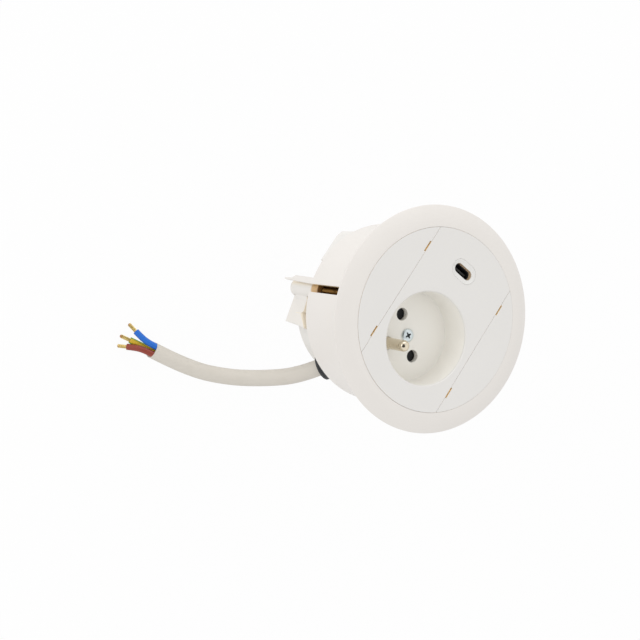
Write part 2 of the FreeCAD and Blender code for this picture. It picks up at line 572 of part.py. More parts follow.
def outlet(name, low, high, radius):
    item = doc.addObject("Part::Cylinder", name)
    bind(item, "Radius", radius)
    bind(item, "Height", "(%s) - (%s)" % (high, low))
    way = outlet_way()
    item.Placement = Placement(Vector(0, 0, 0), Rotation(Vector(0, 0, 1), way))
    for field, start, part in (("x", "outlet_x", way.x), ("y", "outlet_y", way.y),
                               ("z", "-outlet_depth", way.z)):
        bind(item, "Placement.Base." + field, "%s + (%s) * (%.6f)" % (start, low, part))
    return item


def spot_of(name):
    return Vector(*[number(name + "_" + axis) for axis in "xyz"])


def outlet_way():
    start = Vector(number("outlet_x"), number("outlet_y"), number("-outlet_depth"))
    return (spot_of("cord_a") - start).normalize()


wide = rod("housing_wide", "0", "0", "rim_level", "-housing_top_depth", "housing_front_radius")
side_cuts = []
side_cuts.append(box("side_flat_left", "-collar_radius", "-side_flat", "-side_flat_high",
                     "collar_radius", "-housing_depth - cut_past", "rim_level"))
side_cuts.append(box("side_flat_right", "side_flat", "collar_radius", "-collar_radius",
                     "side_flat_high", "-housing_depth - cut_past", "rim_level"))
narrow = cut("housing_narrow", rod("housing_round", "0", "0", "-housing_depth",
                                   "rim_level + rear_floor", "rear_radius"), *side_cuts)
outer = join("housing_outer", wide, narrow, shoulder_block("_left", None),
             shoulder_block("_right", "half_turn"),
             outlet("outlet_boss", "-grommet_head - outlet_boss_long", "-grommet_head",
                    "outlet_boss_radius"))
cavity = join("housing_cavity",
              rod("cavity_front", "0", "0", "-cavity_step_depth", "cut_past",
                  "housing_front_radius - front_wall"),
              common("cavity_rear", rod("cavity_round", "0", "0", "-housing_depth + rear_floor",
                                        "-cavity_step_depth + rear_floor", "rear_cavity_radius"),
                     box("cavity_width", "-side_flat + side_wall", "side_flat - side_wall",
                         "-collar_radius", "collar_radius", "-housing_depth", "0")))
stays = []
cuts = []
for tag, sign, extra in (("_left", "", ""), ("_right", "-", " - 180")):
    x, y = sign + "(" + axis_x + ")", sign + "(" + axis_y + ")"
    stays.append(rod("channel" + tag, x, y, "-housing_depth - cut_past",
                     "-clamp_boss_depth - head_room", "boss_radius + boss_room + channel_wall"))
    join_at = (sign + "(join_x)", sign + "(join_y)")
    stays.append(rod("post" + tag, *join_at, "-join_boss_depth", "cut_past", "join_boss_radius"))
    cuts.append(rod("post_hole" + tag, *join_at, "-join_end_depth - join_head_tall", "cut_past",
                    "join_shank_radius + thread_room"))
    cuts.append(rod("channel_space" + tag, x, y, "-housing_depth - cut_past", "cut_past",
                    "boss_radius + boss_room"))
    cuts.append(rod("boss_space" + tag, x, y, "-clamp_boss_depth - head_room", "cut_past",
                    "clamp_boss_radius + head_room"))
    mouth_box = box("channel_mouth" + tag, "claw_axis_radius", "collar_radius + cut_past",
                    "-channel_mouth_half", "channel_mouth_half", "-housing_depth - cut_past",
                    "cut_past")
    flat_box = box("claw_flat" + tag, "flat_radius", "collar_radius + cut_past", "0", "flat_reach",
                   "-housing_depth - cut_past", "-flat_start_depth")
    both = join("claw_space" + tag, mouth_box, flat_box)
    place(both, "0", "0", "0", "claw_turn" + extra)
    cuts.append(both)
hollow = cut("housing_hollow", cavity, *stays)
cuts.append(outlet("outlet_hole", "-grommet_head - 2 * outlet_boss_long", "0",
                   "grommet_neck_radius + neck_room"))
cuts.append(outlet("outlet_seat", "-grommet_head", "2 * grommet_head",
                   "grommet_radius + neck_room"))
node(cut("rear_housing", outer, hollow, *cuts), "rear_housing")


# Screws that hold the insert and the housing together under the covers.
def small_screw(name, x, y, seat, head_tall, head_radius, shank_radius, end, slot_long, slot_wide,
                slot_depth):
    top = "(%s + %s)" % (seat, head_tall)
    body = join(name + "_body", rod(name + "_head", x, y, seat, top, head_radius),
                rod(name + "_shank", x, y, end, seat, shank_radius))
    return cut(name, body,
               box(name + "_cross_a", x + " - " + slot_long + " / 2", x + " + " + slot_long + " / 2",
                   y + " - " + slot_wide + " / 2", y + " + " + slot_wide + " / 2",
                   top + " - " + slot_depth, top + " + " + slot_depth),
               box(name + "_cross_b", x + " - " + slot_wide + " / 2", x + " + " + slot_wide + " / 2",
                   y + " - " + slot_long + " / 2", y + " + " + slot_long + " / 2",
                   top + " - " + slot_depth, top + " + " + slot_depth))


for tag, sign in (("_left", ""), ("_right", "-")):
    node(small_screw("housing_screw" + tag, sign + "(join_x)", sign + "(join_y)",
                     "-join_seat_depth", "join_head_tall", "join_head_radius", "join_shank_radius",
                     "-join_end_depth", "cross_long", "cross_wide", "cross_depth"),
         "housing_screw" + tag)
    node(small_screw("clamp_screw" + tag, sign + "(" + axis_x + ")", sign + "(" + axis_y + ")",
                     "-clamp_seat_depth", "clamp_head_tall", "clamp_head_radius",
                     "clamp_shank_radius", "screw_end_level", "tool_long", "tool_wide",
                     "tool_depth"),
         "clamp_screw" + tag)


# Claws: boss round the screw, flat leaf with a slanted biting edge, pad and root.
def claw(tag, sign, extra):
    leaf = doc.addObject("PartDesign::Body", "claw_leaf" + tag)
    sketch = outline(leaf, "YZ_Plane", [
        ("foot_level", "leaf_foot_level"), ("leaf_rear_reach", "leaf_corner_level"),
        ("leaf_mid_reach", "leaf_mid_level"), ("leaf_tip_reach", "leaf_tip_level"),
        ("bite_reach", "bite_level"), ("step_reach", "leaf_front_level"),
        ("foot_level", "leaf_front_level")])
    bind(sketch, "AttachmentOffset.Base.z", "-leaf_in")
    pad = leaf.newObject("PartDesign::Pad", "claw_leaf_pad" + tag)
    pad.Profile = sketch
    bind(pad, "Length", "leaf_thickness")
    raised = doc.addObject("PartDesign::Body", "claw_pad" + tag)
    sketch = outline(raised, "YZ_Plane", [
        ("pad_start", "pad_rear_level"), ("leaf_rear_reach", "pad_rear_level"),
        ("leaf_mid_reach", "leaf_mid_level"), ("leaf_tip_reach", "leaf_tip_level"),
        ("pad_start", "bite_level")])
    pad = raised.newObject("PartDesign::Pad", "claw_raised_pad" + tag)
    pad.Profile = sketch
    bind(pad, "Length", "leaf_out + pad_tall")
    root = doc.addObject("Part::Wedge", "claw_root" + tag)
    for field, value in (("Xmin", "0"), ("Xmax", "root_side"), ("X2min", "0"), ("X2max", "leaf_out"),
                         ("Ymin", "foot_level"), ("Ymax", "root_reach"), ("Zmin", "root_rear_level"),
                         ("Zmax", "leaf_front_level"), ("Z2min", "root_rear_level"),
                         ("Z2max", "leaf_front_level")):
        bind(root, field, value)
    boss = rod("claw_boss" + tag, "0", "0", "claw_rear_level", "-boss_top_depth", "boss_radius")
    hole = rod("claw_hole" + tag, "0", "0", "claw_rear_level - cut_past", "cut_past",
               "clamp_shank_radius + thread_room")
    whole = cut("claw" + tag, join("claw_body" + tag, boss, leaf, raised, root), hole)
    place(whole, sign + "(" + axis_x + ")", sign + "(" + axis_y + ")", "0", "claw_turn" + extra)
    node(whole, "claw" + tag)


claw("_left", "", "")
claw("_right", "-", " - 180")

# Cord outlet: rubber grommet in the housing's slanted hole.
grommet_body = join("grommet_body", outlet("grommet_head_rod", "-grommet_head", "0", "grommet_radius"),
                    outlet("grommet_neck_rod", "-grommet_head - grommet_neck", "-grommet_head",
                           "grommet_neck_radius"))
node(grommet_body, "cable_grommet")


# Cord: straight runs joined by tangent arcs, so that each bend is one true radius.
def tube(name, spots, radius):
    edges = []
    last = spots[0]
    for index in range(1, len(spots) - 1):
        before, corner, after = spots[index - 1], spots[index], spots[index + 1]
        back, ahead = before - corner, after - corner
        reach = number("bend_share") * min(back.Length, ahead.Length)
        half_turn = (pi - back.getAngle(ahead)) / 2
        start, end = corner + back.normalize() * reach, corner + ahead.normalize() * reach
        from_centre = (back + ahead).normalize()
        bend = reach / tan(half_turn)
        centre = corner + from_centre * (bend ** 2 + reach ** 2) ** 0.5
        middle = centre - from_centre * bend
        print(name, "bend radius %.1f" % bend)
        edges.append(Part.LineSegment(last, start).toShape())
        edges.append(Part.Arc(start, middle, end).toShape())
        last = end
    edges.append(Part.LineSegment(last, spots[-1]).toShape())
    path = Part.Wire(edges)
    ring = Part.Wire(Part.Circle(spots[0], spots[1] - spots[0], radius).toShape())
    shape = path.makePipeShell([ring], True, False)
    print(name, "length %.1f volume ratio %.4f" % (
        path.Length, shape.Volume / (pi * radius ** 2 * path.Length)))
    item = doc.addObject("Part::Feature", name)
    item.Shape = shape
    return item


start = Vector(number("outlet_x"), number("outlet_y"), number("-outlet_depth"))
route = [start] + [spot_of("cord_" + letter) for letter in "abcde"]
node(tube("cable_jacket", route, number("cord_radius")), "cable_jacket")

end = route[-1]
out = (route[-1] - route[-2]).normalize()
side = spot_of("blue_end") - end
side = (side - out * side.dot(out)).normalize()
deep = out.cross(side)
for tag in ("blue", "earth", "brown"):
    turn = radians(number(tag + "_turn"))
    spread = side * cos(turn) + deep * sin(turn)
    begin = end + spread * number("core_ring")
    tip = spot_of(tag + "_end")
    straight = (tip - begin).normalize()
    step = (tip - begin).Length / (1 + 2 * straight.dot(out))
    first = begin + out * step
    middle = first + straight * step
    node(tube("core_" + tag, [begin, first, middle, tip], number("core_radius")), "core_" + tag)
    strand = doc.addObject("Part::Feature", "strands_" + tag)
    strand.Shape = Part.makeCylinder(number("strand_radius"), number("strand_long"), tip,
                                     tip - middle)
    node(strand, "strands_" + tag)

doc.recompute()
for item in doc.Objects:
    if "Invalid" in item.State or "Error" in item.State:
        raise RuntimeError(item.Name + " did not build")
os.makedirs("parts", exist_ok=True)
for item, name in nodes:
    shape = item.Shape
    if shape.isNull() or not shape.isValid() or len(shape.Solids) != 1:
        raise RuntimeError("%s: null, not valid or %d solids" % (name, len(shape.Solids)))
    shape.exportStep("parts/%s.step" % name)
    print(name, round(shape.Volume, 2))
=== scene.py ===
import json
import math

import bmesh
import bpy
from mathutils import Matrix, Vector


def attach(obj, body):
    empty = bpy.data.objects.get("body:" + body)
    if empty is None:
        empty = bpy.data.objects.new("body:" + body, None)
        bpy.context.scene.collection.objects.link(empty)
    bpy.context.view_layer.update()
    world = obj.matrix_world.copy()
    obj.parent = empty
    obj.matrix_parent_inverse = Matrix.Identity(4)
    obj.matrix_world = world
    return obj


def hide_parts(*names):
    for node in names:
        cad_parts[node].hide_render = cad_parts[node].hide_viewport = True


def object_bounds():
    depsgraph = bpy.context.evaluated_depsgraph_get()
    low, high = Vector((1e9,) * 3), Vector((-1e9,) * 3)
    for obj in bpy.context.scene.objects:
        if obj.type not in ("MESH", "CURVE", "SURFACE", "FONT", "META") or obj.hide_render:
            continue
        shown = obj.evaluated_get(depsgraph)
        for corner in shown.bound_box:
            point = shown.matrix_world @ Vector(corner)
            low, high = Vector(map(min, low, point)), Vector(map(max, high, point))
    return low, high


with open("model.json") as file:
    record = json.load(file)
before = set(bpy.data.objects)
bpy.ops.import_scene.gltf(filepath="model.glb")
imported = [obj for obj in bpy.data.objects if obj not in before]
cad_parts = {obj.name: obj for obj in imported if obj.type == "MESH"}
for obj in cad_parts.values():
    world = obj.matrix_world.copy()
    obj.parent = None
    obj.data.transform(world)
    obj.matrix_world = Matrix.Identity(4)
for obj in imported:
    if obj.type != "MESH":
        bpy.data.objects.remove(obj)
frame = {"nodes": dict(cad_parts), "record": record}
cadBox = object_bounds()
nodes = frame["nodes"]
mm = 0.001
slotOf = {item["node"]: item["material_slot"] for item in frame["record"]["subparts"]}
bodyOf = {node: body for body, names in frame["record"]["behaviour"]["bodies"].items() for node in names}
print("frame loaded:", len(nodes), "CAD nodes")


# Shader groups that several finishes share

def newGroup(name, inputs, outputs):
    group = bpy.data.node_groups.new(name, "ShaderNodeTree")
    for label, kind, value in inputs:
        socket = group.interface.new_socket(label, in_out="INPUT", socket_type="NodeSocket" + kind)
        socket.default_value = value
    for label, kind in outputs:
        group.interface.new_socket(label, in_out="OUTPUT", socket_type="NodeSocket" + kind)
    return group, group.nodes.new("NodeGroupInput").outputs, group.nodes.new("NodeGroupOutput").inputs


def plug(tree, socket, value):
    if isinstance(value, (int, float)):
        socket.default_value = value
    elif isinstance(value, (tuple, list)):
        socket.default_value = (*value, 1) if len(value) == 3 and len(socket.default_value) == 4 else value
    else:
        tree.links.new(value, socket)


def mathNode(tree, operation, a, b=None, c=None, clamp=False):
    node = tree.nodes.new("ShaderNodeMath")
    node.operation = operation
    node.use_clamp = clamp
    for socket, value in zip(node.inputs, (a, b, c)):
        if value is not None:
            plug(tree, socket, value)
    return node.outputs[0]


def mixNode(tree, factor, a, b, blend="MIX"):
    node = tree.nodes.new("ShaderNodeMix")
    node.data_type = "RGBA"
    node.blend_type = blend
    for socket, value in ((node.inputs[0], factor), (node.inputs[6], a), (node.inputs[7], b)):
        plug(tree, socket, value)
    return node.outputs[2]


def noiseNode(tree, where, scale, detail=3.0, rough=0.5):
    node = tree.nodes.new("ShaderNodeTexNoise")
    node.inputs["Detail"].default_value = detail
    node.inputs["Roughness"].default_value = rough
    plug(tree, node.inputs["Scale"], scale)
    tree.links.new(where, node.inputs["Vector"])
    return node.outputs[0]


def rangeNode(tree, value, low, high, start=0.0, end=1.0):
    node = tree.nodes.new("ShaderNodeMapRange")
    node.interpolation_type = "SMOOTHSTEP"
    for socket, part in zip(node.inputs, (value, low, high, start, end)):
        plug(tree, socket, part)
    return node.outputs[0]


def stretched(tree, where, scale):
    node = tree.nodes.new("ShaderNodeMapping")
    node.inputs["Scale"].default_value = scale
    tree.links.new(where, node.inputs["Vector"])
    return node.outputs[0]


def bumpNode(tree, strength, height, distance, normal=None):
    node = tree.nodes.new("ShaderNodeBump")
    node.inputs["Distance"].default_value = distance
    plug(tree, node.inputs["Strength"], strength)
    tree.links.new(height, node.inputs["Height"])
    if normal is not None:
        tree.links.new(normal, node.inputs["Normal"])
    return node.outputs[0]


def shiftedTone(tree, color, value, amount):
    tone = mathNode(tree, "MULTIPLY_ADD", mathNode(tree, "SUBTRACT", value, 0.5), amount, 1.0)
    node = tree.nodes.new("ShaderNodeVectorMath")
    node.operation = "SCALE"
    tree.links.new(color, node.inputs[0])
    tree.links.new(tone, node.inputs["Scale"])
    return node.outputs[0]


def mouldedGrainGroup():  # fine spark-eroded grain of moulded plastic, with soft flow clouds
    group, given, result = newGroup("mouldedGrain", [
        ("Color", "Color", (0.8, 0.8, 0.8, 1)), ("Grain Scale", "Float", 2600.0),
        ("Grain Depth", "Float", 0.25), ("Tone Shift", "Float", 0.03),
        ("Roughness", "Float", 0.4), ("Roughness Shift", "Float", 0.1)],
        [("Color", "Color"), ("Roughness", "Float"), ("Normal", "Vector")])
    where = group.nodes.new("ShaderNodeTexCoord").outputs["Object"]
    grain = noiseNode(group, where, given["Grain Scale"], 4.0, 0.6)
    cloud = noiseNode(group, where, 55.0, 3.0)
    plug(group, result["Color"], shiftedTone(group, given["Color"], cloud, given["Tone Shift"]))
    rough = mathNode(group, "MULTIPLY_ADD", mathNode(group, "SUBTRACT", mathNode(
        group, "ADD", mathNode(group, "MULTIPLY", grain, 0.5), mathNode(group, "MULTIPLY", cloud, 0.5)), 0.5),
        given["Roughness Shift"], given["Roughness"], clamp=True)
    plug(group, result["Roughness"], rough)
    plug(group, result["Normal"], bumpNode(group, given["Grain Depth"], grain, 0.00003))
    return group


def farFrom(tree, parts, x, y):  # distance from an upright axis
    sides = [mathNode(tree, "SUBTRACT", parts.outputs[0], x), mathNode(tree, "SUBTRACT", parts.outputs[1], y)]
    squares = [mathNode(tree, "MULTIPLY", side, side) for side in sides]
    return mathNode(tree, "SQRT", mathNode(tree, "ADD", *squares))


def paintedHollowShadeGroup():  # painted shade: a warm or dark tone standing in for the shade and bounce light inside gaps, slots and recesses, masked by height, distance from an axis and facing
    group, given, result = newGroup("paintedHollowShade", [
        ("Color", "Color", (0.8, 0.8, 0.8, 1)), ("Painted Shade Color", "Color", (0.9, 0.5, 0.2, 1)),
        ("Top", "Float", 0.0036), ("Bottom", "Float", -1.0), ("Soft", "Float", 0.0003),
        ("Reach", "Float", 1.0), ("Middle X", "Float", 0.0), ("Middle Y", "Float", 0.0),
        ("Clear Y", "Float", 0.0), ("Clear Radius", "Float", 0.0), ("Way", "Vector", (0, 0, 1)),
        ("Least Facing", "Float", -3.0)],
        [("Color", "Color")])
    coords = group.nodes.new("ShaderNodeTexCoord").outputs
    where = coords["Object"]
    facing = group.nodes.new("ShaderNodeVectorMath")
    facing.operation = "DOT_PRODUCT"
    group.links.new(coords["Normal"], facing.inputs[0])
    group.links.new(given["Way"], facing.inputs[1])
    turned = rangeNode(group, facing.outputs["Value"], given["Least Facing"],
                       mathNode(group, "ADD", given["Least Facing"], 0.6))
    parts = group.nodes.new("ShaderNodeSeparateXYZ")
    group.links.new(where, parts.inputs[0])
    across = farFrom(group, parts, given["Middle X"], given["Middle Y"])
    outside = mathNode(group, "GREATER_THAN", farFrom(group, parts, 0.0, given["Clear Y"]),
                       given["Clear Radius"])
    below = rangeNode(group, parts.outputs[2], mathNode(group, "SUBTRACT", given["Top"], given["Soft"]),
                      given["Top"], 1.0, 0.0)
    above = rangeNode(group, parts.outputs[2], given["Bottom"],
                      mathNode(group, "ADD", given["Bottom"], given["Soft"]))
    within = rangeNode(group, across, mathNode(group, "SUBTRACT", given["Reach"], 0.0001), given["Reach"],
                       1.0, 0.0)
    # where the painted shade goes
    mask = mathNode(group, "MULTIPLY", mathNode(group, "MULTIPLY", below, above),
                    mathNode(group, "MULTIPLY", mathNode(group, "MULTIPLY", within, outside), turned))
    plug(group, result["Color"], mixNode(group, mask, given["Color"], given["Painted Shade Color"]))
    return group


def drawnMetalGroup():  # fine drawing or turning lines, with slightly dulled patches
    group, given, result = newGroup("drawnMetal", [
        ("Color", "Color", (0.6, 0.6, 0.6, 1)), ("Dull Color", "Color", (0.4, 0.4, 0.4, 1)),
        ("Line Scale", "Float", 900.0), ("Line Depth", "Float", 0.2), ("Dullness", "Float", 0.35),
        ("Roughness", "Float", 0.25), ("Roughness Shift", "Float", 0.15)],
        [("Color", "Color"), ("Roughness", "Float"), ("Normal", "Vector")])
    where = group.nodes.new("ShaderNodeTexCoord").outputs["Object"]
    lines = noiseNode(group, stretched(group, where, (1, 1, 12)), given["Line Scale"], 3.0, 0.6)
    patches = noiseNode(group, where, 420.0, 4.0, 0.6)
    dull = rangeNode(group, patches, 0.45, 0.7)
    plug(group, result["Color"], mixNode(group, mathNode(group, "MULTIPLY", dull, given["Dullness"]),
                                         given["Color"], given["Dull Color"]))
    plug(group, result["Roughness"], mathNode(group, "MULTIPLY_ADD", dull, given["Roughness Shift"],
                                              given["Roughness"], clamp=True))
    plug(group, result["Normal"], bumpNode(group, given["Line Depth"], lines, 0.00002))
    return group


def sheathMarksGroup():  # cores that show faintly through the sheath as a slow twist, with handling marks
    group, given, result = newGroup("sheathMarks", [
        ("Color", "Color", (0.8, 0.8, 0.8, 1)), ("Mark Color", "Color", (0.6, 0.57, 0.5, 1)),
        ("Twists", "Float", 1.6), ("Twist Depth", "Float", 0.5), ("Marks", "Float", 0.35),
        ("Roughness", "Float", 0.5)], [("Color", "Color"), ("Roughness", "Float"), ("Normal", "Vector")])
    coords = group.nodes.new("ShaderNodeTexCoord")
    parts = group.nodes.new("ShaderNodeSeparateXYZ")
    group.links.new(coords.outputs["UV"], parts.inputs[0])
    angle = mathNode(group, "MULTIPLY_ADD", parts.outputs[1], given["Twists"], parts.outputs[0])
    ridge = mathNode(group, "SINE", mathNode(group, "MULTIPLY", angle, 6 * math.pi))
    grain = noiseNode(group, coords.outputs["Object"], 1500.0, 4.0, 0.6)
    smudge = rangeNode(group, noiseNode(group, coords.outputs["Object"], 90.0, 4.0, 0.6), 0.5, 0.75)
    plug(group, result["Color"], mixNode(group, mathNode(group, "MULTIPLY", smudge, given["Marks"]),
                                         given["Color"], given["Mark Color"]))
    plug(group, result["Roughness"], mathNode(group, "MULTIPLY_ADD", grain, 0.15, given["Roughness"],
                                              clamp=True))
    plug(group, result["Normal"], bumpNode(group, given["Twist Depth"], ridge, 0.00006,
                                           bumpNode(group, 0.25, grain, 0.00003)))
    return group


def stripeGroup():  # second colour on both flanks of an insulated core
    group, given, result = newGroup("coreStripe", [
        ("Color", "Color", (0.8, 0.6, 0.05, 1)), ("Stripe Color", "Color", (0.1, 0.4, 0.05, 1)),
        ("Point", "Vector", (0, 0, 0)), ("Side", "Vector", (0, 1, 0)), ("Half Gap", "Float", 0.0009)],
        [("Color", "Color")])
    where = group.nodes.new("ShaderNodeTexCoord").outputs["Object"]
    shifted = group.nodes.new("ShaderNodeVectorMath")
    shifted.operation = "SUBTRACT"
    group.links.new(where, shifted.inputs[0])
    group.links.new(given["Point"], shifted.inputs[1])
    across = group.nodes.new("ShaderNodeVectorMath")
    across.operation = "DOT_PRODUCT"
    group.links.new(shifted.outputs[0], across.inputs[0])
    group.links.new(given["Side"], across.inputs[1])
    far = mathNode(group, "ABSOLUTE", across.outputs["Value"])
    mask = rangeNode(group, far, given["Half Gap"], mathNode(group, "ADD", given["Half Gap"], 0.00006))
    plug(group, result["Color"], mixNode(group, mask, given["Color"], given["Stripe Color"]))
    return group


effects = {"grain": mouldedGrainGroup(), "paintedShade": paintedHollowShadeGroup(), "metal": drawnMetalGroup(),
           "sheath": sheathMarksGroup(), "stripe": stripeGroup()}
print("shader groups ready")


def newMaterial(name):
    material = bpy.data.materials.new(name)
    material.use_nodes = True
    return material, material.node_tree, material.node_tree.nodes["Principled BSDF"].inputs


def useGroup(tree, effect, values):
    node = tree.nodes.new("ShaderNodeGroup")
    node.node_tree = effects[effect]
    node.name = effect
    for label, value in values.items():
        plug(tree, node.inputs[label], value)
    return node.outputs


def wear(shader, tree, skin):  # the three outputs that every effect has
    for label, socket in (("Color", "Base Color"), ("Roughness", "Roughness"), ("Normal", "Normal")):
        tree.links.new(skin[label], shader[socket])


def plastic(name, color, roughness=0.4, grain=0.25, scale=2600.0, tone=0.03, paintedShades=(), coat=0.0,
            stripe=None, shine=0.5):
    material, tree, shader = newMaterial(name)
    # painted shade for gaps and recesses, layered onto the colour
    for paintedShade in paintedShades:
        color = useGroup(tree, "paintedShade", dict(paintedShade, Color=color))["Color"]
    if stripe:
        color = useGroup(tree, "stripe", dict(stripe, Color=color))["Color"]
    skin = useGroup(tree, "grain", {"Color": color, "Grain Scale": scale, "Grain Depth": grain,
                                    "Tone Shift": tone, "Roughness": roughness})
    wear(shader, tree, skin)
    shader["Specular IOR Level"].default_value = shine
    shader["Coat Weight"].default_value = coat
    shader["Coat Roughness"].default_value = 0.15
    return material


def metal(name, color, dull, roughness=0.25, lines=0.2, scale=900.0, dullness=0.35, paintedShades=()):
    material, tree, shader = newMaterial(name)
    # painted shade for recesses, layered onto the colour
    for paintedShade in paintedShades:
        color = useGroup(tree, "paintedShade", dict(paintedShade, Color=color))["Color"]
    skin = useGroup(tree, "metal", {"Color": color, "Dull Color": dull, "Line Scale": scale,
                                    "Line Depth": lines, "Dullness": dullness, "Roughness": roughness})
    wear(shader, tree, skin)
    shader["Metallic"].default_value = 1.0
    return material


def sheathing(name, color, mark, roughness=0.5):
    material, tree, shader = newMaterial(name)
    wear(shader, tree, useGroup(tree, "sheath", {"Color": color, "Mark Color": mark, "Roughness": roughness}))
    return material


# painted shade and bounce-light tones for gap walls, the housing seen through the slots, the claw boss and
# wall, and the port mouth
paintedShadeTones = {"face": (1.0, 0.80, 0.47), "slot": (0.54, 0.32, 0.11), "boss": (0.28, 0.14, 0.04),
        "bossEnd": (0.62, 0.40, 0.18), "wall": (0.93, 0.85, 0.71), "bite": (0.91, 0.82, 0.67),
        "mouth": (0.68, 0.52, 0.35)}
finishes = {
    "white_plastic": plastic("whitePlastic", (0.82, 0.79, 0.75), 0.42),
    # face plastic with painted warm shade on gap and notch walls below the face level, clear of the socket
    # well
    "face_plastic": plastic("facePlastic", (0.80, 0.782, 0.755), 0.45, paintedShades=[{
        "Painted Shade Color": paintedShadeTones["face"], "Top": 0.0039, "Soft": 0.0002, "Clear Y": -0.00925,
        "Clear Radius": 0.0225}]),
    # glossier well plastic, made paler than the face plastic as painted light against the shade of the deep
    # well
    "well_plastic": plastic("wellPlasticPaintedLight", (0.92, 0.90, 0.85), 0.3),
    "black_plastic": plastic("blackPlastic", (0.010, 0.010, 0.011), 0.45, shine=0.3),
    "port_black": plastic("portBlack", (0.016, 0.016, 0.018), 0.35),
    "beige_plastic": plastic("beigePlastic", (0.55, 0.43, 0.27), 0.5),
    "rubber": plastic("blackRubber", (0.026, 0.028, 0.031), 0.5, 0.6, 1400.0),
    "nickel": metal("brightNickel", (0.75, 0.67, 0.53), (0.56, 0.49, 0.36), 0.14, 0.15),
    "zinc_steel": metal("zincSteel", (0.52, 0.58, 0.60), (0.36, 0.41, 0.43), 0.32, 0.3),
    # yellow-passivated clamp screw steel, darkened to brown as painted shade for its place inside the slot
    "clamp_brass": metal("passivatedSteelPaintedShade", (0.22, 0.12, 0.035), (0.09, 0.045, 0.015), 0.45, 0.3),
    "brass": metal("brassStrip", (0.8, 0.6, 0.3), (0.5, 0.36, 0.17), 0.3),
    "copper": metal("copperStrands", (0.80, 0.64, 0.26), (0.58, 0.40, 0.15), 0.32, 0.3, 1500.0, 0.5),
    "board": plastic("boardGreen", (0.02, 0.16, 0.06), 0.4, 0.1, 900.0, 0.3, coat=0.4),
    "core_iron": plastic("coreIron", (0.03, 0.03, 0.028), 0.5, 0.5, 700.0),
    "can": metal("canSleeve", (0.5, 0.5, 0.52), (0.3, 0.3, 0.33), 0.35),
    "cord_white": sheathing("cordWhite", (0.655, 0.615, 0.55), (0.58, 0.54, 0.465)),
    "core_blue": plastic("coreBlue", (0.018, 0.155, 0.62), 0.36, 0.3, 1800.0, 0.06, shine=0.35),
    "core_green_yellow": plastic("coreStriped", (0.68, 0.46, 0.03), 0.36, 0.3, 1800.0, 0.06, shine=0.35,
                                 stripe={"Stripe Color": (0.13, 0.46, 0.05), "Half Gap": 0.00095}),
    "core_brown": plastic("coreBrown", (0.29, 0.055, 0.035), 0.36, 0.3, 1800.0, 0.06, shine=0.35),
}
# ring plastic with painted warm shade on the bore and inner collar walls, down to the rim
ringFinish = plastic("ringPlastic", (0.82, 0.785, 0.745), 0.42, paintedShades=[{
    "Painted Shade Color": paintedShadeTones["face"], "Top": 0.00385, "Soft": 0.0002, "Bottom": -0.0386, "Reach": 0.0390}])
# housing plastic with painted brown shade on its walls inside the collar, seen through the claw slots
housingFinish = plastic("housingPlastic", (0.83, 0.81, 0.775), 0.42, paintedShades=[{
    "Painted Shade Color": paintedShadeTones["slot"], "Top": 0.0, "Bottom": -0.0386, "Reach": 0.0372}])
# surround plastic with painted tan shade on the inner wall of the port mouth
surroundFinish = plastic("surroundPlastic", (0.81, 0.80, 0.775), 0.3, 0.1, paintedShades=[{
    "Painted Shade Color": paintedShadeTones["mouth"], "Top": 0.0033, "Soft": 0.0003}])
# claw plastic with painted shade and bounce light: a warm band on the side facing the stop wall, a warm
# upward-facing bite, and the boss darkening to brown towards its end inside the slot
clawFinishes = {side: plastic("clawPlastic", (0.82, 0.79, 0.75), 0.42, paintedShades=[
    {"Painted Shade Color": paintedShadeTones["wall"], "Top": -0.036, "Bottom": -0.0615, "Least Facing": -0.1,
     "Way": (-side * 0.326, side * 0.946, 0)},
    {"Painted Shade Color": paintedShadeTones["bite"], "Top": -0.041, "Soft": 0.001, "Bottom": -0.0505, "Least Facing": 0.05},
    {"Painted Shade Color": paintedShadeTones["bossEnd"], "Top": 0.0, "Bottom": -0.0430, "Soft": 0.0018},
    {"Painted Shade Color": paintedShadeTones["boss"], "Top": 0.0, "Bottom": -0.0370, "Soft": 0.0008}]) for side in (1, -1)}
# screw steel with painted dark shade in the cross recess of the centre screw
panFinish = metal("panScrewSteel", (0.70, 0.765, 0.785), (0.54, 0.60, 0.62), 0.34, 0.25, paintedShades=[{
    "Painted Shade Color": (0.02, 0.024, 0.026), "Top": -0.01012, "Soft": 0.00016, "Middle Y": -0.00925,
    "Reach": 0.0018}])


def dress(obj, material):
    obj.data.materials.clear()
    obj.data.materials.append(material)


for name, node in nodes.items():
    dress(node, finishes[slotOf[name]])
print("finishes on the CAD nodes")


# Tools that make the finished meshes

def linked(name, mesh):
    obj = bpy.data.objects.new(name, mesh)
    bpy.context.scene.collection.objects.link(obj)
    return obj


def meshObject(name, spots, faces):
    mesh = bpy.data.meshes.new(name)
    mesh.from_pydata([tuple(value * mm for value in spot) for spot in spots], [], faces)
    mesh.validate()
    obj = linked(name, mesh)
    tidyFaces(obj)
    return obj


def tidyFaces(obj):
    work = bmesh.new()
    work.from_mesh(obj.data)
    bmesh.ops.remove_doubles(work, verts=work.verts, dist=1e-7)
    bmesh.ops.recalc_face_normals(work, faces=work.faces)
    work.to_mesh(obj.data)
    work.free()


def band(a, b, count):  # faces between two rings of points
    return [(a + i, a + (i + 1) % count, b + (i + 1) % count, b + i) for i in range(count)]


def block(name, first, second):  # closed block between two outlines with the same number of points
    count = len(first)
    faces = [tuple(reversed(range(count))), tuple(range(count, 2 * count))] + band(0, count, count)
    return meshObject(name, first + second, faces)


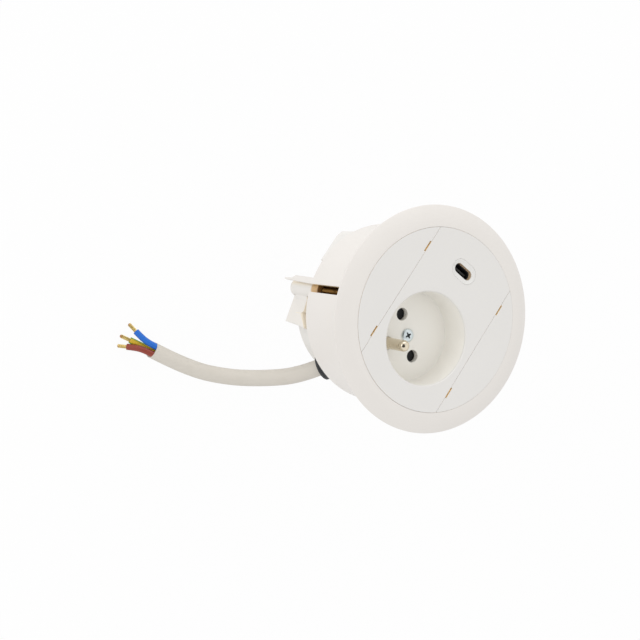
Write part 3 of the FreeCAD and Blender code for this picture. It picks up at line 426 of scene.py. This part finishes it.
def roundedProfile(corners, closed=False, steps=4):  # (radius, level, corner radius) to plain points
    spots = []
    count = len(corners)
    for index, (r, z, bend) in enumerate(corners):
        here = Vector((r, z))
        if bend <= 0 or (not closed and index in (0, count - 1)):
            spots.append(here)
            continue
        before = Vector(corners[index - 1][:2]) - here
        after = Vector(corners[(index + 1) % count][:2]) - here
        half = before.angle(after) / 2
        reach = min(bend / math.tan(half), 0.49 * before.length, 0.49 * after.length)
        start, end = here + before.normalized() * reach, here + after.normalized() * reach
        for step in range(steps + 1):
            share = step / steps
            spots.append(start * (1 - share) ** 2 + here * 2 * share * (1 - share) + end * share ** 2)
    return spots


def lathe(name, profile, centre=(0, 0), closed=False, segments=160):
    spots, faces = [], []
    count = len(profile)
    for index in range(segments):
        angle = 2 * math.pi * index / segments
        spots += [(centre[0] + p.x * math.cos(angle), centre[1] + p.x * math.sin(angle), p.y)
                  for p in profile]
    for index in range(segments):
        a, b = index * count, (index + 1) % segments * count
        for step in range(count if closed else count - 1):
            after = (step + 1) % count
            faces.append((a + step, b + step, b + after, a + after))
    return meshObject(name, spots, faces)


def prism(name, outline, low, high, turn=0.0):
    spin = Matrix.Rotation(math.radians(turn), 2)
    flat = [spin @ Vector(spot) for spot in outline]
    return block(name, [(p.x, p.y, low) for p in flat], [(p.x, p.y, high) for p in flat])


def stadium(longSide, shortSide, steps=14):
    reach, radius = (longSide - shortSide) / 2, shortSide / 2
    ends = []
    for side, start in ((1, -90), (-1, 90)):
        for step in range(steps + 1):
            angle = math.radians(start + 180 * step / steps)
            ends.append((side * reach + radius * math.cos(angle), radius * math.sin(angle)))
    return ends


def stadiumLoft(name, centre, longSide, shortSide, rings, ratio=1.0):
    # rings: (inset, level), a closed loop; ratio: inset of the long sides over that of the ends
    spots, faces = [], []
    count = len(stadium(longSide, shortSide))
    for inset, level in rings:
        spots += [(centre[0] + x, centre[1] + y, level)
                  for x, y in stadium(longSide - 2 * inset, shortSide - 2 * inset * ratio)]
    total = len(rings)
    for ring in range(total):
        faces += band(ring * count, (ring + 1) % total * count, count)
    return meshObject(name, spots, faces)


def carve(obj, cutter, operation="DIFFERENCE"):
    step = obj.modifiers.new("carve", "BOOLEAN")
    step.object, step.operation, step.solver = cutter, operation, "EXACT"
    bpy.context.view_layer.update()
    mesh = bpy.data.meshes.new_from_object(obj.evaluated_get(bpy.context.evaluated_depsgraph_get()))
    obj.modifiers.clear()
    obj.data = mesh
    bpy.data.objects.remove(cutter)
    return obj


def settle(obj, edge=0.0, steps=3, sharp=38.0):  # rounds edges, then shades by angle
    obj.data.shade_smooth()
    if edge:
        bevel = obj.modifiers.new("edge", "BEVEL")
        bevel.width, bevel.segments = edge * mm, steps
        bevel.limit_method, bevel.angle_limit = "ANGLE", math.radians(32)
        bevel.use_clamp_overlap = False
        bevel.miter_outer = "MITER_ARC"
    else:
        obj.data.set_sharp_from_angle(angle=math.radians(sharp))
    weighted = obj.modifiers.new("normals", "WEIGHTED_NORMAL")
    weighted.keep_sharp = not edge
    return obj


def standFor(obj, node, material=None, name=None):
    obj.name = name or node + "Finished"
    dress(obj, material or finishes[slotOf[node]])
    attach(obj, bodyOf[node])
    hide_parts(node)
    return obj


def finishedCopy(name, edge, material=None, steps=3):  # CAD form with moulded or broken edges
    mesh = nodes[name].data.copy()
    obj = linked(name + "Finished", mesh)
    work = bmesh.new()
    work.from_mesh(mesh)
    bmesh.ops.remove_doubles(work, verts=work.verts, dist=1e-6)
    bmesh.ops.dissolve_limit(work, angle_limit=math.radians(0.6), verts=work.verts, edges=work.edges,
                             use_dissolve_boundaries=False)
    work.to_mesh(mesh)
    work.free()
    settle(obj, edge, steps)
    return standFor(obj, name, material)


# Ring: turned section with the collar, stop walls and claw slots
ring = {"segments": 256, "flange": 48.0, "foot": 47.5, "wide": 1.1, "top": 3.9, "bore": 38.79, "ledge": 0.5,
        "collar": 39.75, "inner": 37.75, "rim": -38.6, "tongue": -65.0, "domeRadius": 18.5,
        "slotTurn": 199.0, "slotHalf": 1.8, "slotTop": -14.0, "trim": (36.0, 42.0), "cut": (35.0, 43.0),
        "below": -70.0, "past": 2.0, "stopWall": [
            (-1.8, -36.6), (-1.8, -38.6), (-2.75, -65.0), (-3.45, -65.0), (-3.65, -58.4), (-4.95, -55.5),
            (-4.5, -36.6)]}


def domeLine(start, end, radius, steps=20):
    a, b = Vector(start), Vector(end)
    middle, half = (a + b) / 2, (b - a).length / 2
    across = Vector(((b - a).y, -(b - a).x)).normalized()
    centre = middle + across * math.sqrt(radius ** 2 - half ** 2)
    first = math.atan2(a.y - centre.y, a.x - centre.x)
    last = math.atan2(b.y - centre.y, b.x - centre.x)
    return [(centre.x + radius * math.cos(first + (last - first) * i / steps),
             centre.y + radius * math.sin(first + (last - first) * i / steps)) for i in range(steps + 1)]


def wallBlock(name, turn):  # stop wall outline, pushed out through the collar's thickness
    rad = math.radians(turn)
    out, along = Vector((math.cos(rad), math.sin(rad), 0)), Vector((-math.sin(rad), math.cos(rad), 0))
    return block(name, *[[tuple(out * reach + along * y + Vector((0, 0, z))) for y, z in ring["stopWall"]]
                         for reach in (ring["inner"] - ring["past"], ring["collar"] + ring["past"])])


dome = domeLine((ring["bore"], ring["top"]), (ring["flange"], ring["wide"]), ring["domeRadius"])
section = [(ring["bore"], ring["ledge"], 0.1), (ring["bore"], ring["top"], 0.05)]
section += [(r, z, 0) for r, z in dome[1:-1]]
section += [(ring["flange"], ring["wide"], 0.7), (ring["foot"], 0.0, 0.3), (ring["collar"], 0.0, 0.15),
            (ring["collar"], ring["tongue"], 0.25), (ring["inner"], ring["tongue"], 0.25),
            (ring["inner"], ring["ledge"], 0.2)]
ringBody = lathe("ring", roundedProfile(section, closed=True), closed=True, segments=ring["segments"])
near, far = ring["trim"]
trimBox = [Vector((near, ring["below"])), Vector((far, ring["below"])), Vector((far, ring["rim"])),
           Vector((near, ring["rim"]))]
trim = lathe("trim", trimBox, closed=True, segments=ring["segments"])
turns = (ring["slotTurn"], ring["slotTurn"] - 180)
for turn in turns:
    carve(trim, wallBlock("stopWall", turn))
carve(ringBody, trim)
near, far = ring["cut"]
half = ring["slotHalf"]
slotBox = [(near, -half), (far, -half), (far, half), (near, half)]
for turn in turns:
    carve(ringBody, prism("slot", slotBox, ring["below"], ring["slotTop"], turn))
standFor(settle(ringBody), "bezel_ring", ringFinish)
print("ring turned and slotted")

# Socket well: turned cup with the floor holes
well = {"centre": (0.0, -9.25), "turn": -36.8, "radius": 19.55, "outer": 21.6, "floor": -11.0,
        "back": -13.6, "top": 3.0, "contact": 9.5, "holeRadius": 2.65, "earth": 10.0, "earthRadius": 2.7,
        "screwRadius": 1.65}


def inWell(x, y):
    rad = math.radians(well["turn"])
    return (well["centre"][0] + x * math.cos(rad) - y * math.sin(rad),
            well["centre"][1] + x * math.sin(rad) + y * math.cos(rad))


def holeCutter(place, radius, flare):
    return lathe("holeCutter", roundedProfile([
        (0, well["back"] - 1, 0), (radius, well["back"] - 1, 0), (radius, well["floor"] - flare, 0),
        (radius + flare * 0.3, well["floor"] - flare * 0.3, 0), (radius + flare, well["floor"] + 0.02, 0),
        (radius + flare, well["floor"] + 1, 0), (0, well["floor"] + 1, 0)]), place, segments=64)


cup = lathe("cup", roundedProfile([
    (0, well["floor"], 0), (well["radius"], well["floor"], 0.5), (well["radius"], well["top"], 0.1),
    (well["outer"], well["top"], 0.1), (well["outer"], well["back"], 0.4), (0, well["back"], 0)]),
    well["centre"], segments=224)
for place, radius, flare in ((inWell(-well["contact"], 0), well["holeRadius"], 0.25),
                             (inWell(well["contact"], 0), well["holeRadius"], 0.25),
                             (inWell(0, -well["earth"]), well["earthRadius"], 0.15),
                             (inWell(0, 0), well["screwRadius"], 0.1)):
    carve(cup, holeCutter(place, radius, flare))
standFor(settle(cup), "socket_well")

# Front panel and covers keep their CAD form, with softly broken edges
for name in ("front_panel", "cover_left", "cover_right"):
    finishedCopy(name, 0.05)

# Charging port: oval surround dished towards its mouth, blackened lining and blade
port = {"centre": (-1.85, 23.55), "long": 12.8, "short": 8.3, "base": 1.0, "mouthLong": 9.55,
        "mouthShort": 4.2, "dish": [
            (0.0, 3.9), (0.04, 3.97), (0.12, 4.0), (0.26, 3.99), (0.4, 3.94), (0.55, 3.84), (0.7, 3.72),
            (0.86, 3.61), (1.05, 3.53), (1.25, 3.48)],
        "mouth": [(0.14, 3.45), (0.04, 3.41), (0.0, 3.3)], "liningLong": 9.45, "liningShort": 4.1,
        "liningTop": 1.35, "lip": [(0.0, 0.1), (0.1, 0.0), (0.22, 0.04), (0.3, 0.15)],
        "liningFloor": 0.5, "floorInset": 2.0, "toothPitch": 0.5, "toothTop": -0.9}
mouthInset = (port["long"] - port["mouthLong"]) / 2
profile = [(0.0, port["base"])] + port["dish"]
profile += [(mouthInset - before, level) for before, level in port["mouth"]]
surround = stadiumLoft(
    "surround", port["centre"], port["long"], port["short"], profile + [(mouthInset, port["base"])],
    ratio=(port["short"] - port["mouthShort"]) / (2 * mouthInset))
standFor(settle(surround), "port_surround", surroundFinish)
shellBase = min(vertex.co.z for vertex in nodes["port_shell"].data.vertices) / mm
floorTop = shellBase + port["liningFloor"]
profile = [(0.0, shellBase)] + [(inset, port["liningTop"] - drop) for inset, drop in port["lip"]]
profile += [(port["lip"][-1][0], floorTop), (port["floorInset"], floorTop), (port["floorInset"], shellBase)]
lining = stadiumLoft("lining", port["centre"], port["liningLong"], port["liningShort"], profile)
standFor(settle(lining), "port_shell")
bladeFinish, tree, shader = newMaterial("bladeContacts")
where = tree.nodes.new("ShaderNodeTexCoord").outputs["Object"]
parts = tree.nodes.new("ShaderNodeSeparateXYZ")
tree.links.new(where, parts.inputs[0])
stripes = mathNode(tree, "FRACT", mathNode(tree, "MULTIPLY", parts.outputs[0], 1 / (port["toothPitch"] * mm)))
teeth = mathNode(tree, "GREATER_THAN", stripes, 0.5)
deep = mathNode(tree, "LESS_THAN", parts.outputs[2], port["toothTop"] * mm)
pads = mathNode(tree, "MULTIPLY", teeth, deep)
tree.links.new(mixNode(tree, pads, (0.014, 0.014, 0.015), (0.75, 0.5, 0.2)), shader["Base Color"])
tree.links.new(pads, shader["Metallic"])
tree.links.new(mathNode(tree, "MULTIPLY_ADD", pads, -0.2, 0.45), shader["Roughness"])
finishedCopy("port_blade", 0.12, material=bladeFinish)
print("face, covers and port done")

# Earth pin: drawn shank with a turned bullet tip
pin = {"radius": 2.4, "foot": 2.6, "tip": 3.4, "floor": -11.0, "flangeTop": -24.0, "flange": 3.6,
       "low": -25.5, "tipTurn": 9, "tipRings": 9}
tipAngles = [math.radians(pin["tipTurn"] * i) for i in range(pin["tipRings"])]
tipLine = [(pin["radius"] * math.cos(a), pin["tip"] - pin["radius"] + pin["radius"] * math.sin(a), 0)
           for a in tipAngles]
pinLine = [(0, pin["low"], 0), (pin["flange"], pin["low"], 0.2), (pin["flange"], pin["flangeTop"], 0.2),
           (pin["foot"], pin["flangeTop"], 0.1), (pin["foot"], pin["floor"], 0.1),
           (pin["radius"], pin["floor"], 0.05)] + tipLine + [(0, pin["tip"], 0)]
earthPin = lathe("earthPin", roundedProfile(pinLine), inWell(0, -well["earth"]), segments=72)
standFor(settle(earthPin), "earth_pin")

# Centre screw: low pan head with a cross recess
panScrew = {"head": 2.85, "brim": -10.45, "shoulder": 2.35, "flat": 1.2, "top": -10.05, "seat": -11.0,
            "shank": 1.5, "end": -32.0, "arm": 1.75, "web": 0.42, "depth": 0.7, "turn": -26.8}
screwBody = lathe("panScrew", roundedProfile([
    (0, panScrew["end"], 0), (panScrew["shank"], panScrew["end"], 0.3),
    (panScrew["shank"], panScrew["seat"], 0.05), (panScrew["head"], panScrew["seat"], 0.1),
    (panScrew["head"], panScrew["brim"], 0.25), (panScrew["shoulder"], panScrew["top"] - 0.1, 0.4),
    (panScrew["flat"], panScrew["top"], 0.3), (0, panScrew["top"], 0)]), well["centre"], segments=96)


def crossCutter(spec, place):  # tapered arms, deepest in the middle
    a, w = spec["arm"], spec["web"]
    quarter = [(a, -w * 0.7), (a, w * 0.7), (w * 1.25, w * 1.25)]
    arms = []
    for _ in range(4):
        arms += quarter
        quarter = [(-y, x) for x, y in quarter]
    rad = math.radians(spec["turn"])
    outlines = []
    for share, level in ((0.45, spec["top"] - spec["depth"]), (1.0, spec["top"] + 0.2)):
        outlines.append([(place[0] + share * (x * math.cos(rad) - y * math.sin(rad)),
                          place[1] + share * (x * math.sin(rad) + y * math.cos(rad)), level)
                         for x, y in arms])
    return block("crossCutter", *outlines)


carve(screwBody, crossCutter(panScrew, well["centre"]))
standFor(settle(screwBody), "socket_screw", panFinish)
print("pin and centre screw done")

# Clamp screws: cheese heads and rolled threads
clamp = {"radius": 33.25, "turn": 198.0, "head": 3.5, "seat": -1.5, "top": 1.4, "outer": 1.95, "root": 1.66,
         "pitch": 0.7, "start": -7.0, "end": -61.4, "arm": 2.2, "web": 0.5, "depth": 1.5, "around": 30,
         "perTurn": 6, "leadIn": 1.2}


def threadRadius(spec, level, share):  # share: how far round the screw
    phase = (level / spec["pitch"] - share) % 1.0
    rise = min(1.0, 1.25 * (1 - abs(2 * phase - 1)))
    return spec["root"] + (spec["outer"] - spec["root"]) * rise * min(
        1.0, (level - spec["end"]) / spec["leadIn"] + 0.25)


def threadedScrew(name, place, spec):
    around, head = spec["around"], spec["head"]
    long = spec["start"] - spec["end"]
    levels = int(long / spec["pitch"] * spec["perTurn"])
    rings = [(0.0, spec["end"]), (spec["root"] - 0.5, spec["end"])]
    rings += [(None, spec["end"] + long * i / levels) for i in range(levels + 1)]
    rings += [(spec["outer"], spec["start"] + 0.05), (spec["outer"], spec["seat"]),
              (head - 0.1, spec["seat"]), (head, spec["seat"] + 0.1), (head, spec["top"] - 0.35),
              (head - 0.1, spec["top"] - 0.1), (head - 0.35, spec["top"]), (0.0, spec["top"])]
    spots, faces = [], []
    for radius, level in rings:
        for step in range(around):
            angle = 2 * math.pi * step / around
            r = threadRadius(spec, level, step / around) if radius is None else radius
            spots.append((place[0] + r * math.cos(angle), place[1] + r * math.sin(angle), level))
    for ringIndex in range(len(rings) - 1):
        faces += band(ringIndex * around, (ringIndex + 1) * around, around)
    return meshObject(name, spots, faces)


for name, side in (("clamp_screw_left", 1), ("clamp_screw_right", -1)):
    rad = math.radians(clamp["turn"])
    place = (side * clamp["radius"] * math.cos(rad), side * clamp["radius"] * math.sin(rad))
    screw = threadedScrew(name, place, clamp)
    carve(screw, crossCutter(clamp, place))
    standFor(settle(screw, sharp=50.0), name)
print("clamp screws threaded")

# Housing, claws and the pieces behind the panel, from the CAD forms with moulded edges
innerFinishes = {"rear_housing": housingFinish, "claw_left": clawFinishes[1], "claw_right": clawFinishes[-1]}
innerEdges = {
    "rear_housing": 0.3, "claw_left": 0.2, "claw_right": 0.2, "shutter": 0.15, "contact_carrier": 0.15,
    "contact_live": 0.06, "contact_neutral": 0.06, "earth_strap": 0.06, "housing_screw_left": 0.08,
    "housing_screw_right": 0.08, "charger_board": 0.05, "transformer": 0.3, "large_capacitor": 0.4,
    "small_capacitor": 0.3, "terminal_screw_live": 0.08, "terminal_screw_neutral": 0.08,
    "terminal_screw_earth": 0.08}
for name, edge in innerEdges.items():
    finishedCopy(name, edge, innerFinishes.get(name), steps=2)
print("housing, claws and inner pieces done")

# Cord: grommet, jacket, three cores and their strands, on the CAD route
cordSpec = {
    "radius": 3.75, "length": 0.0820, "route": [
        (-7.3, -35.1, -47.3), (-10.0, -43.3, -56.4), (-17.6, -51.8, -69.1), (-28.1, -59.7, -79.8),
        (-42.8, -66.0, -88.9), (-59.1, -68.0, -94.6)],
    "coreRing": 2.2, "coreRadius": 1.45, "ends": {  # turn round the sheath, then where the core ends
        "blue": (-22.0, (-70.8, -65.3, -98.4)), "earth": (98.0, (-70.4, -70.0, -99.5)),
        "brown": (218.0, (-69.7, -73.2, -99.6))},
    "slopePower": 1.4, "sheathSlope": 4.0, "sheathWall": 0.5, "strandRadius": 0.85, "strandLong": 5.0,
    "snip": 1.2, "wireRadius": 0.17, "wireRings": (1, 6, 12), "wirePoints": 7, "lay": 16.0,
    "grommet": {"head": 6.5, "headDeep": 5.0, "neck": 5.0, "neckLong": 5.0, "face": [
        (6.5, -1.9, 0.1), (6.3, -1.7, 0.1), (6.3, -1.3, 0.1), (6.5, -1.1, 0.1), (6.5, 0, 0.6), (4.3, 0, 0.3),
        (3.9, -0.35, 0.1), (0, -0.35, 0)]}}


def splineLength(obj):
    bpy.context.view_layer.update()
    mesh = bpy.data.meshes.new_from_object(obj.evaluated_get(bpy.context.evaluated_depsgraph_get()))
    spots = [v.co.copy() for v in mesh.vertices]
    return sum((b - a).length for a, b in zip(spots, spots[1:]))


def cordCurve(name, points, radius, fine=10, smooth=16):
    curve = bpy.data.curves.new(name, "CURVE")
    curve.dimensions = "3D"
    line = curve.splines.new("NURBS")
    line.points.add(len(points) - 1)
    for spot, place in zip(line.points, points):
        spot.co = (*[value * mm for value in place], 1)
    line.order_u = 3
    line.use_endpoint_u = True
    line.resolution_u = smooth
    obj = linked(name, curve)
    length = splineLength(obj)
    curve.bevel_depth = radius * mm
    curve.bevel_resolution = fine
    curve.use_fill_caps = True
    return obj, length


def turnedAlong(obj, start, way):  # moves a piece turned about Z onto a slanted axis
    spin = Vector((0, 0, 1)).rotation_difference(Vector(way)).to_matrix().to_4x4()
    obj.data.transform(Matrix.Translation(Vector(start) * mm) @ spin)
    obj.data.update()
    return obj


route = cordSpec["route"]
jacket, jacketLength = cordCurve("cordJacket", route, cordSpec["radius"])
standFor(jacket, "cable_jacket", name="cordJacket")
print("cord length", round(jacketLength, 4))


def slopingTube(name, start, way, high, rings, reach, around=72):
    # rings: (radius, level, share of the slope); the slope is highest towards `high`
    over = way.cross(high)
    spots, faces = [], []
    for radius, level, share in rings:
        for step in range(around):
            angle = 2 * math.pi * step / around
            rise = reach * ((1 + math.cos(angle)) / 2) ** cordSpec["slopePower"]
            out = high * math.cos(angle) + over * math.sin(angle)
            spots.append(tuple(start + out * radius + way * (level + share * rise)))
    for ringIndex in range(len(rings) - 1):
        faces += band(ringIndex * around, (ringIndex + 1) * around, around)
    return meshObject(name, spots, faces)


outletWay = (Vector(route[1]) - Vector(route[0])).normalized()
gland = cordSpec["grommet"]
neckEnd = -gland["headDeep"] - gland["neckLong"]
profile = [(0, neckEnd, 0), (gland["neck"], neckEnd, 0.4), (gland["neck"], -gland["headDeep"], 0.1),
           (gland["head"], -gland["headDeep"], 0.3)] + gland["face"]
grommet = lathe("grommet", roundedProfile(profile), segments=96)
turnedAlong(grommet, route[0], outletWay)
standFor(settle(grommet), "cable_grommet")

last = Vector(route[-1])
outWay = (last - Vector(route[-2])).normalized()
blueTip = Vector(cordSpec["ends"]["blue"][1])
side = blueTip - last
side = (side - outWay * side.dot(outWay)).normalized()
deepWay = outWay.cross(side)
outer, inner = cordSpec["radius"], cordSpec["radius"] - cordSpec["sheathWall"]
sheathEnd = slopingTube("sheathEnd", last, outWay, deepWay, [
    (outer, -0.01, 0), (outer, -0.08, 1), (outer - 0.05, 0.0, 1), (inner + 0.08, 0.0, 1), (inner, -0.06, 1),
    (inner, -0.02, 0)], cordSpec["sheathSlope"])
standFor(sheathEnd, "cable_jacket", name="sheathEnd")
cutCopper = metal("cutCopper", (0.55, 0.2, 0.11), (0.25, 0.08, 0.05), 0.4, 0.5, 3000.0, 0.8)


def strandBundle(name, tip, way, across, over):  # twisted wires, cut off on a slant
    bundle = bpy.data.curves.new(name, "CURVE")
    bundle.dimensions = "3D"
    marks = cordSpec["wirePoints"]
    wide = cordSpec["strandRadius"] - cordSpec["wireRadius"]
    for ringIndex, wires in enumerate(cordSpec["wireRings"]):
        ringRadius = wide * ringIndex / 2
        for wire in range(wires):
            line = bundle.splines.new("NURBS")
            line.points.add(marks - 1)
            lean = 2 * math.pi * (wire / wires + cordSpec["strandLong"] / cordSpec["lay"])
            share = ringRadius / cordSpec["strandRadius"] * math.cos(lean)
            long = cordSpec["strandLong"] - cordSpec["snip"] * (1 - share) / 2
            for mark, spot in enumerate(line.points):
                travel = long * mark / (marks - 1)
                angle = 2 * math.pi * (wire / wires + travel / cordSpec["lay"])
                place = tip + way * travel + (across * math.cos(angle) + over * math.sin(angle)) * ringRadius
                spot.co = (*(place * mm), 1)
            line.order_u = 3
            line.use_endpoint_u = True
            line.resolution_u = 6
    bundle.bevel_depth = cordSpec["wireRadius"] * mm
    bundle.bevel_resolution = 2
    bundle.use_fill_caps = True
    return linked(name + "Finished", bundle)


for tag, (turn, tip) in cordSpec["ends"].items():
    spread = side * math.cos(math.radians(turn)) + deepWay * math.sin(math.radians(turn))
    begin, tip = last + spread * cordSpec["coreRing"], Vector(tip)
    straight = (tip - begin).normalized()
    step = (tip - begin).length / (1 + 2 * straight.dot(outWay))
    first = begin + outWay * step
    middle = first + straight * step
    core = cordCurve("core_" + tag, [begin, first, middle, tip], cordSpec["coreRadius"], 8, 12)[0]
    standFor(core, "core_" + tag)
    way = (tip - middle).normalized()
    across = (deepWay - way * deepWay.dot(way)).normalized()
    over = way.cross(across)
    if tag == "earth":
        stripes = finishes["core_green_yellow"].node_tree.nodes["stripe"].inputs
        stripes["Point"].default_value = tip * mm
        stripes["Side"].default_value = over
    rim = cordSpec["strandRadius"]
    snip = slopingTube("snip", tip + way * (cordSpec["strandLong"] - cordSpec["snip"]), way, across, [
        (rim - 0.08, -0.3, 1), (rim - 0.02, -0.16, 1), (rim - 0.03, -0.06, 1), (rim * 0.6, -0.02, 1),
        (0.01, 0.0, 0.5)], cordSpec["snip"], 36)
    snip.data.shade_smooth()
    standFor(snip, "strands_" + tag, cutCopper, "snip_" + tag)
    strands = strandBundle("strands_" + tag, tip, way, across, over)
    standFor(strands, "strands_" + tag)
print("cord, cores and strands done")

# Camera, as the photograph sees the module
camera = {"place": (-0.23516, -0.12453, 0.38423), "right": (0.69992147, 0.53120972, 0.47741610),
          "down": (0.56665301, -0.81991118, 0.08154766), "away": (0.43475771, 0.21345231, -0.87488505),
          "focal": 1110.66, "frame": 640, "sensor": 36.0}
eye = linked("camera", bpy.data.cameras.new("camera"))
turn = Matrix((Vector(camera["right"]), -Vector(camera["down"]), -Vector(camera["away"]))).transposed()
eye.matrix_world = Matrix.Translation(camera["place"]) @ turn.to_4x4()
eye.data.sensor_width = camera["sensor"]
eye.data.lens = camera["focal"] * camera["sensor"] / camera["frame"]
eye.data.clip_start = 0.01
bpy.context.scene.camera = eye

# Floor and soft studio light
studio = {"floorHalf": 3.0, "under": 0.0002, "glow": 0.94, "sky": 0.88, "cardHalf": 0.36,
          "cardBack": 0.12, "lamps": {
    "key": {"place": (-0.55, 0.8, 0.14), "size": 0.7, "power": 1.7},
    "fill": {"place": (-0.85, -0.3, 0.35), "size": 0.6, "power": 1.3}}}


def flatSheet(name, half, level=0.0):
    mesh = bpy.data.meshes.new(name)
    mesh.from_pydata([(-half, -half, level), (half, -half, level), (half, half, level), (-half, half, level)],
                     [], [(0, 1, 2, 3)])
    return linked(name, mesh)


floor = flatSheet("floor", studio["floorHalf"], cadBox[0][2] - studio["under"])
floorPaint, tree, shader = newMaterial("floorPaint")
shader["Base Color"].default_value = (0.9, 0.9, 0.9, 1)
shader["Roughness"].default_value = 0.8
glow = tree.nodes.new("ShaderNodeEmission")
glow.inputs["Color"].default_value = (1, 1, 1, 1)
path = tree.nodes.new("ShaderNodeLightPath").outputs
seen = mathNode(tree, "MAXIMUM", path["Is Camera Ray"], path["Is Glossy Ray"])
blendShader = tree.nodes.new("ShaderNodeMixShader")
tree.links.new(mathNode(tree, "MULTIPLY", seen, studio["glow"]), blendShader.inputs[0])
tree.links.new(tree.nodes["Principled BSDF"].outputs[0], blendShader.inputs[1])
tree.links.new(glow.outputs[0], blendShader.inputs[2])
tree.links.new(blendShader.outputs[0], tree.nodes["Material Output"].inputs[0])
dress(floor, floorPaint)

# Dark card behind the camera, so that bright metal has something to show
card = flatSheet("card", studio["cardHalf"])
behind = Vector(camera["place"]) - Vector(camera["away"]) * studio["cardBack"]
card.matrix_world = Matrix.Translation(behind) @ turn.to_4x4()
card.visible_camera = card.visible_diffuse = card.visible_shadow = False
cardPaint, tree, shader = newMaterial("cardPaint")
shader["Base Color"].default_value = (0.02, 0.018, 0.016, 1)
shader["Roughness"].default_value = 0.9
dress(card, cardPaint)

world = bpy.data.worlds.new("studio")
bpy.context.scene.world = world
world.use_nodes = True
tree = world.node_tree
sky = tree.nodes["Background"]
sky.inputs["Color"].default_value = (1, 1, 1, 1)
path = tree.nodes.new("ShaderNodeLightPath").outputs
seen = mathNode(tree, "MAXIMUM", path["Is Camera Ray"],
                mathNode(tree, "MAXIMUM", path["Is Glossy Ray"], path["Is Transmission Ray"]))
strength = mathNode(tree, "MULTIPLY_ADD", seen, 1 - studio["sky"], studio["sky"])
tree.links.new(strength, sky.inputs["Strength"])
for name, spec in studio["lamps"].items():
    light = bpy.data.lights.new(name, "AREA")
    light.energy, light.size = spec["power"], spec["size"]
    lamp = linked(name, light)
    lamp.location = spec["place"]
    lamp.rotation_euler = (Vector((0, 0, -0.02)) - Vector(spec["place"])).to_track_quat("-Z", "Y").to_euler()
print("studio ready")

bpy.context.scene.view_settings.view_transform = "Standard"
